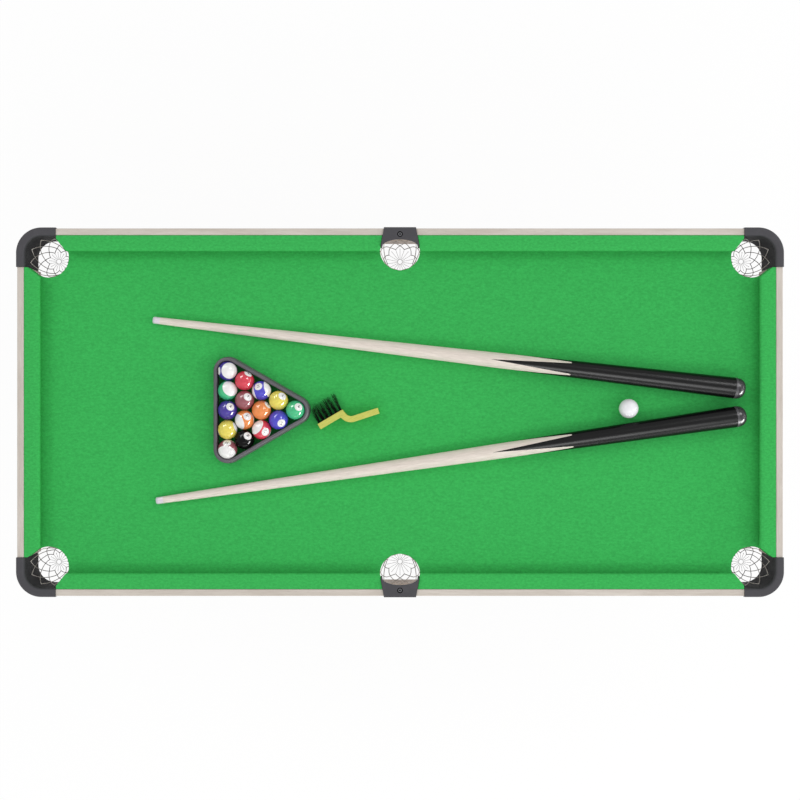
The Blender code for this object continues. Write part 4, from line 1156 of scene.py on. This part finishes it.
def foot_form(at):
    """A levelling foot with a ribbed grip and a soft tread."""
    plug = LEG_TUBE / 2 - LEG_TUBE_WALL - SEAT_GAP
    top = FOOT_PAD_HEIGHT + FOOT_PLUG_LENGTH
    profile = [(FOOT_PAD_RADIUS * share, height) for share, height in FOOT_PROFILE]
    profile += [(plug, FOOT_PAD_HEIGHT), (plug, top - FOOT_PLUG_EASE), (plug * FOOT_PLUG_SHARE, top)]
    return turned(profile, FOOT_SIDES, at)


def make_legs(steel, zinc, rubber):
    make_leg_frames(steel)
    for end, sign_x in ENDS:
        clad(f"leg_chassis_{end}", steel)
        clad(f"stay_upper_{end}", zinc)
        clad(f"stay_lower_{end}", zinc)
        for side, sign_y in SIDES:
            name = f"foot_{end}_{side}"
            at = (sign_x * LEG_X, sign_y * LEG_HALF_SPREAD, 0)
            foot = make(name + "_pad", foot_form(at), rubber, 35)
            dress(foot, name, "foot_rubber", name)


# Balls

BALL_SUBDIVISIONS = 5
BALL_EDGE_SOFT = 0.0001
NUMBER_DISC_ANGLE = 25.0
NUMBER_HEIGHT = 0.0085
NUMBER_PAIR_SHARE = 0.82
NUMBER_WEIGHT = 0.022
NUMBER_EDGE = 0.0011
NUMBER_PROUD = 0.00004
NUMBER_SUNK = 0.00025
STRIPE_HALF_BAND = 34.0
OTHER_HALF_BANDS = {9: 58.0, 15: 24.0}
BLACK_GLOSS = {"coat": 0.12, "specular": 0.06}

BALL_COLOURS = {
    1: ("yellow", srgb(238, 222, 98)),
    2: ("blue", srgb(80, 76, 204)),
    3: ("red", srgb(222, 66, 84)),
    4: ("purple", srgb(74, 58, 160)),
    5: ("orange", srgb(243, 146, 78)),
    6: ("green", srgb(72, 196, 136)),
    7: ("maroon", srgb(156, 90, 98)),
    8: ("black", srgb(9, 9, 10)),
}

# Which way each number faces, as (right, up) shares of the radius on the upper or lower side, and
# where its upright or its stripe's pole points
BALL_FACES = {
    1: ((0.50, 0.46, 1), (0.60, 0.80, 0.0)),
    2: ((0.42, -0.35, 1), (0.35, 0.94, 0.0)),
    3: ((0.47, 0.76, 1), (0.40, -0.90, 0.4)),
    4: ((0.42, 0.38, 1), (0.50, 0.87, 0.0)),
    5: ((0.74, 0.58, 1), (0.70, 0.70, 0.0)),
    6: ((0.42, 0.36, 1), (0.55, 0.83, 0.0)),
    7: ((0.45, 0.38, 1), (0.50, 0.87, 0.0)),
    8: ((0.45, 0.42, 1), (0.80, 0.60, 0.0)),
    9: ((0.30, -0.60, -1), (0.92, 0.36, 0.15)),
    10: ((-0.25, 0.45, 1), (0.96, 0.22, 0.10)),
    11: ((0.54, -0.22, 1), (-0.57, 0.45, 0.72)),
    12: ((-0.90, 0.0, 1), (0.33, 0.03, 0.90)),
    13: ((0.42, 0.40, 1), (-0.70, -0.25, 0.60)),
    14: ((0.57, 0.52, -1), (0.54, 0.35, 0.77)),
    15: ((0.03, 0.73, 1), (-0.10, -0.67, 0.73)),
}


def ball_turn(face, pole):
    """The turn that brings local Z to the number's place and local X to its upright."""
    right, up, side = face
    facing = Vector((right, up, side * math.sqrt(max(0.0, 1 - right**2 - up**2)))).normalized()
    upright_to = Vector(pole)
    upright_to = (upright_to - facing * upright_to.dot(facing)).normalized()
    sideways = facing.cross(upright_to)
    return Matrix((upright_to, sideways, facing)).transposed().to_4x4()


def digit_form(text):
    """The outline of a number as flat triangles with short edges."""
    curve = bpy.data.curves.new("digits", "FONT")
    curve.body = text
    curve.size = NUMBER_HEIGHT if len(text) == 1 else NUMBER_HEIGHT * NUMBER_PAIR_SHARE
    curve.align_x = "CENTER"
    curve.align_y = "CENTER"
    curve.offset = NUMBER_HEIGHT * NUMBER_WEIGHT
    curve.resolution_u = 3
    holder = linked("digits", curve)
    bpy.context.view_layer.update()
    flat = bpy.data.meshes.new_from_object(holder.evaluated_get(bpy.context.evaluated_depsgraph_get()))
    bpy.data.objects.remove(holder)
    shape = bmesh.new()
    shape.from_mesh(flat)
    bmesh.ops.remove_doubles(shape, verts=shape.verts, dist=1e-6)
    for _ in range(5):
        bmesh.ops.triangulate(shape, faces=shape.faces)
        long_edges = [edge for edge in shape.edges if edge.calc_length() > NUMBER_EDGE]
        if not long_edges:
            break
        bmesh.ops.subdivide_edges(shape, edges=long_edges, cuts=1)
    bmesh.ops.triangulate(shape, faces=shape.faces)
    return shape


def wrap_digits(name, text, ink):
    """A number as a thin inlay in the sphere, round local Z and upright along local X."""
    shape = digit_form(text)
    extruded = bmesh.ops.extrude_face_region(shape, geom=list(shape.faces))
    sunk = {v for v in extruded["geom"] if isinstance(v, bmesh.types.BMVert)}
    for vert in shape.verts:
        radius = BALL_RADIUS + (-NUMBER_SUNK if vert in sunk else NUMBER_PROUD)
        x, y = vert.co.y, -vert.co.x
        vert.co = Vector((x, y, math.sqrt(BALL_RADIUS**2 - x**2 - y**2))).normalized() * radius
    bmesh.ops.recalc_face_normals(shape, faces=shape.faces)
    return meshed(name, shape, ink)


def make_ball(name, finish, turn):
    shape = bmesh.new()
    bmesh.ops.create_icosphere(shape, subdivisions=BALL_SUBDIVISIONS, radius=BALL_RADIUS)
    ball = meshed(name + "_polished", shape, finish)
    ball.data.shade_smooth()
    ball.matrix_world = Matrix.Translation(middle_of(name)) @ turn
    return ball


def make_balls():
    ink = ink_finish()
    for number, (face, pole) in BALL_FACES.items():
        name = f"ball_{number}"
        striped = number > len(BALL_COLOURS)
        hue, colour = BALL_COLOURS[number - len(BALL_COLOURS) if striped else number]
        band = OTHER_HALF_BANDS.get(number, STRIPE_HALF_BAND) if striped else None
        gloss = BLACK_GLOSS if hue == "black" else {}
        finish = ball_finish(f"{name}_{hue}", colour, band, **gloss)
        ball = make_ball(name, finish, ball_turn(face, pole))
        digits = wrap_digits(f"{name}_number", str(number), ink)
        digits.parent = ball
        dress(ball, name, f"ball_{hue}", name)
    white = make_ball("cue_ball", cue_ball_finish(), Matrix.Identity(4))
    dress(white, "cue_ball", "ball_white", "cue_ball")


# Rack

RACK_FINE_STEPS = 18
RACK_FOOT_ROUND = 0.0012
RACK_OUTER_ROUND = 0.0046
RACK_INNER_ROUND = 0.0026
RACK_SWELL = 0.0011


def rack_ring(offset):
    """The outline at a distance round the three corner balls, as rounded corners in turn."""
    ring = []
    for number, start in ((6, -60), (12, 60), (15, 180)):
        centre = middle_of(f"ball_{number}")
        ring += arc(centre[:2], offset, start, start + 120, RACK_FINE_STEPS)
    return ring


def rack_section():
    """The rack's wall as (distance from its inner face, height): a flared foot and a well rounded top."""
    low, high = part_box("ball_rack")
    r = RACK_FOOT_ROUND
    outer = RACK_OUTER_ROUND
    inner = RACK_INNER_ROUND
    foot = RACK_WALL + RACK_FOOT
    section = arc((r, low.z + r), r, 180, 270, 4)
    section += arc((foot - r, low.z + r), r, 270, 360, 4)
    section += arc((RACK_WALL + RACK_SWELL - outer, high.z - outer), outer, 0, 90, 6)
    section += arc((inner, high.z - inner), inner, 90, 180, 6)
    return section


def make_rack():
    plastic = moulded_finish("rack_shell", srgb(98, 95, 101), 0.45, 1300, 0.0001, 0.2)
    inner = BALL_RADIUS + RACK_CLEARANCE
    rings = [[(x, y, z) for x, y in rack_ring(inner + n)] for n, z in rack_section()]
    columns = [list(column) for column in zip(*rings)]
    rack = make("ball_rack_shell", loft(columns, closed=True), plastic)
    dress(rack, "ball_rack", "rack_plastic", "ball_rack")


# Cues

CUE_SPLICE = (0.349, 0.504)
CUE_SPLICE_SOFT = 0.0004
CUE_TONGUE_SHARE = 0.15
CUE_TONGUE_END = 0.004
CUE_SIDES = 56
CUE_STATIONS = 48
CUE_FERRULE = 0.0145
CUE_FERRULE_STATIONS = 4
CUE_TIP_LENGTH = 0.004
CUE_TIP_SIDE = 0.0018
CUE_TIP_CROWN = 0.0022
CUE_RING = 0.0050
CUE_DOME_STEPS = 14
CUE_DOME_END = 0.08
CUE_DOME_SIDE = 0.98
CUE_DOME_SWELL = 2.3

# The collar in front of the bumper, as (distance to the shaft, share of the butt's radius)
CUE_COLLAR = ((CUE_RING, 0.965), (CUE_RING, 0.99), (0.0003, 1.0), (0.0, 0.985))


def cue_radius(along):
    share = (along - CUE_BUMPER_LENGTH) / (CUE_LENGTH - CUE_BUMPER_LENGTH)
    return CUE_BUTT_RADIUS + (CUE_TIP_RADIUS - CUE_BUTT_RADIUS) * max(0.0, share)


def cue_form(stations):
    """A piece of a cue that lies with its lowest line level, from (distance, radius, height of middle)."""
    rings = []
    for along, radius, middle in stations:
        rings.append([(along, y, z) for y, z in circle((0, middle), radius, CUE_SIDES)])
    return loft(rings)


def cue_run(start, end, count):
    """Stations of an even taper."""
    return [(along, cue_radius(along), cue_radius(along)) for along in spread(start, end, count)]


def cue_dome():
    """Stations of the bumper, which swells from its end like a blunt egg."""
    stations = []
    for step in spread(0, 1, CUE_DOME_STEPS):
        share = step**2
        wide = CUE_DOME_SIDE * (1 - (1 - share)**CUE_DOME_SWELL)**(1 / CUE_DOME_SWELL)
        radius = CUE_BUTT_RADIUS * max(wide, CUE_DOME_END)
        stations.append(((CUE_BUMPER_LENGTH - CUE_RING) * share, radius, CUE_BUTT_RADIUS))
    return stations


def cue_tip(end):
    """Stations of the tip: a short side, then a rounded crown."""
    radius = cue_radius(end)
    stations = [(end, radius, radius), (end + CUE_TIP_SIDE, radius, radius)]
    for angle in (30, 60, 80):
        a = math.radians(angle)
        along = end + CUE_TIP_SIDE + CUE_TIP_CROWN * math.sin(a)
        stations.append((along, radius - CUE_TIP_CROWN * (1 - math.cos(a)), radius))
    return stations


def make_cues():
    shoulder = CUE_LENGTH - CUE_FERRULE
    end = CUE_LENGTH - CUE_TIP_LENGTH
    butt = CUE_BUTT_RADIUS
    collar = [(CUE_BUMPER_LENGTH - before, butt * share, butt) for before, share in CUE_COLLAR]
    parts = (
        ("shaft", cue_run(CUE_BUMPER_LENGTH, shoulder, CUE_STATIONS), cue_finish()),
        ("ferrule", cue_run(shoulder, end, CUE_FERRULE_STATIONS),
         moulded_finish("cue_ferrule", srgb(225, 215, 225), 0.35, 1400, 0.00005)),
        ("tip", cue_tip(end), moulded_finish("cue_tip", srgb(206, 208, 214), 0.7, 2200, 0.0002, 0.3)),
        ("bumper", cue_dome(), moulded_finish("cue_bumper", srgb(52, 51, 54), 0.24, 1600, 0.00006, 0.25)),
        ("collar", collar, moulded_finish("cue_collar", srgb(70, 69, 72), 0.35, 1600, 0.00006, 0.3)),
    )
    for number, place in enumerate(CUE_PLACES, 1):
        name = f"cue_{number}"
        for part, stations, finish in parts:
            piece = make(f"{name}_{part}", cue_form(stations), finish, 35)
            piece.matrix_world = on_cloth(*place)
            dress(piece, name, "cue_wood")
        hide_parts(name)


# Brush

BRISTLE_TUFTS = (6, 4)
BRISTLE_TUFT_STRANDS = 18
BRISTLE_TUFT_RADIUS = 0.0020
BRISTLE_TUFT_INSET = 0.0020
BRISTLE_TUFT_LEAN = 0.0022
BRISTLE_TUFT_SHARES = (1.0, 1.1)
BRISTLE_LEAN = 0.04
BRISTLE_SPLAY = 2.2
BRISTLE_SHARES = (0.84, 1.04)
BRISTLE_STRAY = (0.0011, 0.0008)
BRISTLE_BOW = (0.0007, 0.0005)
BRISTLE_RADIUS = 0.00017
BRISTLE_TAPER = 0.65
BRISTLE_STEPS = 4
BRISTLE_TO_RACK = 0.0006
BRISTLE_TO_CLOTH = 0.0006
BRISTLE_SHORTENED = 0.96
BRISTLE_BED_DROP = 0.0008
BRUSH_HANDLE_ROUND = 0.0009
BRUSH_BEND_STEPS = 14
BRUSH_SEED = 7


def brush_spine():
    """The middle of the brush seen from its side: head, steep step down, round bend, sloping handle."""
    step = math.radians(BRUSH_STEP_FALL)
    fall = math.radians(BRUSH_HANDLE_FALL)
    meet = Vector((BRUSH_HEAD_LENGTH, 0)) + BRUSH_STEP_LENGTH * Vector((math.cos(step), -math.sin(step)))
    grip = meet + BRUSH_HANDLE_LENGTH * Vector((math.cos(fall), -math.sin(fall)))
    half_turn = (step - fall) / 2
    towards = step - half_turn
    middle = meet + BRUSH_BEND_RADIUS / math.cos(half_turn) * Vector((math.sin(towards), math.cos(towards)))
    bend = arc(middle, BRUSH_BEND_RADIUS, 270 - BRUSH_STEP_FALL, 270 - BRUSH_HANDLE_FALL, BRUSH_BEND_STEPS)
    return [(0, 0), (BRUSH_HEAD_LENGTH, 0), *bend, tuple(grip)]


def bristle_run():
    """The length of the bristles' bed on the straight edge of the head."""
    corner = BRUSH_THICKNESS / 2 * math.tan(math.radians(BRUSH_STEP_FALL / 2))
    return BRUSH_HEAD_LENGTH + corner - 2 * BRISTLE_MARGIN


def offset_line(points, distance):
    """A line of points moved sideways, mitred at its bends."""
    moved = []
    for i, point in enumerate(points):
        here = Vector(point)
        into = (here - Vector(points[i - 1])).normalized() if i else (Vector(points[1]) - here).normalized()
        out = (Vector(points[i + 1]) - here).normalized() if i < len(points) - 1 else into
        normal = Vector((-into.y - out.y, into.x + out.x)).normalized()
        stretch = distance / normal.dot(Vector((-into.y, into.x)))
        moved.append(tuple(here + normal * stretch))
    return moved


def strand(foot, tip, bow):
    """A tapering three-sided hair, bowed to one side."""
    rings = []
    for t in spread(0, 1, BRISTLE_STEPS):
        middle = foot + (tip - foot) * t + bow * math.sin(math.pi * t * 0.5) * t
        wide = BRISTLE_RADIUS * (1 - BRISTLE_TAPER * t)
        rings.append([(x, middle.y, z) for x, z in circle((middle.x, middle.z), wide, 3)])
    return loft(rings)


def make_handle(placed):
    spine = brush_spine()
    half = BRUSH_THICKNESS / 2
    outline = offset_line(spine, -half) + offset_line(spine, half)[::-1]
    handle = make("brush_handle_painted", prism(outline, 0, BRUSH_WIDTH), lacquer_finish())
    eased(handle, BRUSH_HANDLE_ROUND, 3, 45)
    handle.matrix_world = placed
    dress(handle, "brush", "brush_wood", "brush_handle")


def make_bristles(placed):
    """Tufts of hairs in a dark bed. A hair that would touch the rack is shortened."""
    hair = random.Random(BRUSH_SEED)
    root = BRUSH_THICKNESS / 2 + SEAT_GAP
    level = root + BRISTLE_BACKING
    length = bristle_run()
    depth = BRUSH_WIDTH - 2 * BRUSH_EDGE
    backing = box_outline((BRISTLE_MARGIN, root), (BRISTLE_MARGIN + length, level - BRISTLE_BED_DROP))
    forms = [prism(backing, BRUSH_EDGE, BRUSH_EDGE + depth)]
    columns, rows = BRISTLE_TUFTS
    apex = middle_of("ball_6").to_2d()
    clear = BALL_RADIUS + RACK_CLEARANCE + RACK_WALL + RACK_FOOT + BRISTLE_TO_RACK
    inset = BRISTLE_MARGIN + BRISTLE_TUFT_INSET
    for column in range(columns):
        share = column / (columns - 1)
        for row in range(rows):
            x = inset + (length - 2 * BRISTLE_TUFT_INSET) * share
            z = BRUSH_EDGE + depth * (row + 0.5) / rows
            lean = (share - 0.5) * length * BRISTLE_LEAN + hair.gauss(0, BRISTLE_TUFT_LEAN)
            tuft_share = hair.uniform(*BRISTLE_TUFT_SHARES)
            for _ in range(BRISTLE_TUFT_STRANDS):
                around = hair.uniform(0, 2 * math.pi)
                out = BRISTLE_TUFT_RADIUS * math.sqrt(hair.random())
                foot = Vector((x + out * math.cos(around), root, z + out * math.sin(around)))
                trim = BRISTLE_TRIM * max(0.0, 1 - (foot.x - BRISTLE_MARGIN) / BRISTLE_TRIM_RUN)
                reach = level + (BRISTLE_LENGTH - trim) * tuft_share * hair.uniform(*BRISTLE_SHARES)
                tip_x = x + lean + BRISTLE_SPLAY * out * math.cos(around) + hair.gauss(0, BRISTLE_STRAY[0])
                tip_z = z + BRISTLE_SPLAY * out * math.sin(around) + hair.gauss(0, BRISTLE_STRAY[1])
                bow = Vector((hair.gauss(0, BRISTLE_BOW[0]), 0, hair.gauss(0, BRISTLE_BOW[1])))
                lowest = BRISTLE_TO_CLOTH + max(0.0, -bow.z)
                tip = Vector((tip_x, reach, min(max(tip_z, lowest), BRUSH_WIDTH)))
                while ((placed @ (tip + bow)).to_2d() - apex).length < clear:
                    tip = foot + (tip - foot) * BRISTLE_SHORTENED
                forms.append(strand(foot, tip, bow))
    bristles = make("brush_bristles_hair", joined(forms), bristle_finish(), 60)
    bristles.matrix_world = placed
    dress(bristles, "brush", "bristle", "brush_bristles")


def make_brush():
    placed = on_cloth(*BRUSH_AT, BRUSH_HEADING)
    make_handle(placed)
    make_bristles(placed)


# Studio

WHITE = (1.0, 1.0, 1.0, 1.0)
WORLD_LIGHT = 0.69
FLOOR_HALF = 20.0
FLOOR_DROP = 0.0005
FLOOR_BOUNCE = (0.82, 0.82, 0.82, 1.0)
FLOOR_GLOW = 0.90
FLOOR_PAINT = (0.10, 0.10, 0.10, 1.0)
POLISHED_NAMES = ("ball", "cue_1", "cue_2")

# Lamps as (name, place, (length, width), watts). Those of the last two groups show only as a shine.
ROOM_LAMPS = (
    ("back_left", (-2.4, 1.5, 3.2), (1.3, 0.8), 13),
    ("back_right", (1.6, 1.5, 3.2), (1.3, 0.8), 5),
    ("front_long", (0.3, -2.0, 3.4), (3.2, 0.5), 16),
    ("front_low", (0.1, -4.0, 1.3), (3.0, 0.5), 34),
    ("right_low", (4.4, 0.1, 1.6), (2.4, 0.5), 34),
    ("right_box", (4.2, -0.6, 3.4), (1.6, 1.2), 27),
)
POLISHED_LAMPS = (
    ("shine_right", (3.05, -2.30, 1.85), (2.2, 0.7), 480),
    ("shine_back_left", (-2.20, 2.95, 2.70), (2.2, 1.0), 130),
    ("shine_back_right", (2.10, 1.75, 3.40), (1.2, 1.2), 80),
)
LACQUERED_LAMPS = (
    ("shine_cue_back", (-2.20, 2.95, 2.70), (2.2, 1.0), 75),
    ("shine_cue_right", (3.05, -2.30, 1.85), (2.2, 0.7), 300),
    ("shine_cue_back_right", (2.30, 1.75, 3.40), (1.2, 1.2), 78),
    ("shine_cue_front", (-0.1, -1.45, 3.4), (3.0, 1.3), 110),
    ("shine_cue_low", (0.1, -4.0, 1.3), (3.0, 0.5), 110),
)


def seen_directly(tree):
    """1 for camera, glossy and transmission rays, and 0 for the rest."""
    path = tree.nodes.new("ShaderNodeLightPath")
    total = path.outputs["Is Camera Ray"]
    for ray in ("Is Glossy Ray", "Is Transmission Ray"):
        either = tree.nodes.new("ShaderNodeMath")
        either.operation = "MAXIMUM"
        tree.links.new(total, either.inputs[0])
        tree.links.new(path.outputs[ray], either.inputs[1])
        total = either.outputs[0]
    return total


def make_world():
    world = bpy.data.worlds.new("studio")
    bpy.context.scene.world = world
    world.use_nodes = True
    tree = world.node_tree
    light = tree.nodes["Background"]
    light.inputs["Color"].default_value = WHITE
    strength = tree.nodes.new("ShaderNodeMapRange")
    strength.inputs["To Min"].default_value = WORLD_LIGHT
    strength.inputs["To Max"].default_value = 1.0
    tree.links.new(seen_directly(tree), strength.inputs["Value"])
    tree.links.new(strength.outputs["Result"], light.inputs["Strength"])


def make_floor():
    """A white floor that keeps a faint shadow."""
    made = Finish("floor_white", roughness=0.9, base_color=FLOOR_BOUNCE)
    glow = made.node("ShaderNodeEmission", {"Color": WHITE, "Strength": FLOOR_GLOW})
    paint = made.node("ShaderNodeBsdfDiffuse", {"Color": FLOOR_PAINT})
    shown = made.node("ShaderNodeAddShader", {0: glow.outputs[0], 1: paint.outputs[0]})
    shares = {0: seen_directly(made.tree), 1: made.shader.outputs[0], 2: shown.outputs[0]}
    either = made.node("ShaderNodeMixShader", shares)
    made.feed(made.tree.nodes["Material Output"].inputs["Surface"], either.outputs[0])
    corners = box_outline((-FLOOR_HALF, -FLOOR_HALF), (FLOOR_HALF, FLOOR_HALF))
    mesh = bpy.data.meshes.new("floor")
    mesh.from_pydata([(x, y, 0) for x, y in corners], [], [(0, 1, 2, 3)])
    mesh.materials.append(made.material)
    floor = linked("floor", mesh)
    floor.location.z = -FLOOR_DROP


def lamp(name, at, size, watts, shown_on):
    """A rectangular soft lamp, long side first, that looks at the middle of the table.

    One with a collection of pieces shows only as a shine on them.
    """
    data = bpy.data.lights.new(name, "AREA")
    data.shape = "RECTANGLE"
    data.size, data.size_y = size
    data.energy = watts
    obj = linked(name, data)
    obj.location = at
    heading = Vector((0, 0, RAIL_HEIGHT)) - Vector(at)
    obj.rotation_euler = heading.to_track_quat("-Z", "Y").to_euler()
    obj.visible_camera = False
    obj.visible_diffuse = shown_on is None
    obj.light_linking.receiver_collection = shown_on


def make_studio(polished, lacquered):
    scene = bpy.context.scene
    scene.view_settings.view_transform = "Standard"
    data = bpy.data.cameras.new("camera")
    data.lens = CAMERA_LENS
    data.sensor_width = CAMERA_SENSOR
    scene.camera = linked("camera", data)
    scene.camera.location = CAMERA_AT
    make_world()
    make_floor()
    for lamps, shown_on in ((ROOM_LAMPS, None), (POLISHED_LAMPS, polished), (LACQUERED_LAMPS, lacquered)):
        for row in lamps:
            lamp(*row, shown_on)


def main():
    polished = bpy.data.collections.new("polished")
    lacquered = bpy.data.collections.new("lacquered")
    make_studio(polished, lacquered)
    bed_green = cloth_finish("bed_wool", srgb(61, 178, 88))
    rail_green = cloth_finish("cushion_wool", srgb(62, 178, 88))
    plastic = moulded_finish("cap_shell", CAP_GREY, 0.5, specular=0.2)
    steel = coated_steel()
    zinc = zinc_finish()
    rubber = moulded_finish("foot_rubber_grey", srgb(48, 48, 50), 0.75, 1500, 0.0002, 0.3)
    make_bed(bed_green)
    make_cushions(rail_green)
    make_rails()
    make_corner_caps(plastic)
    make_side_caps(plastic)
    make_nets()
    make_legs(steel, zinc, rubber)
    make_balls()
    make_rack()
    make_cues()
    make_brush()
    for obj in bpy.context.scene.objects:
        if obj.name.endswith("_shaft"):
            lacquered.objects.link(obj)
        elif obj.name.startswith(POLISHED_NAMES):
            polished.objects.link(obj)


main()
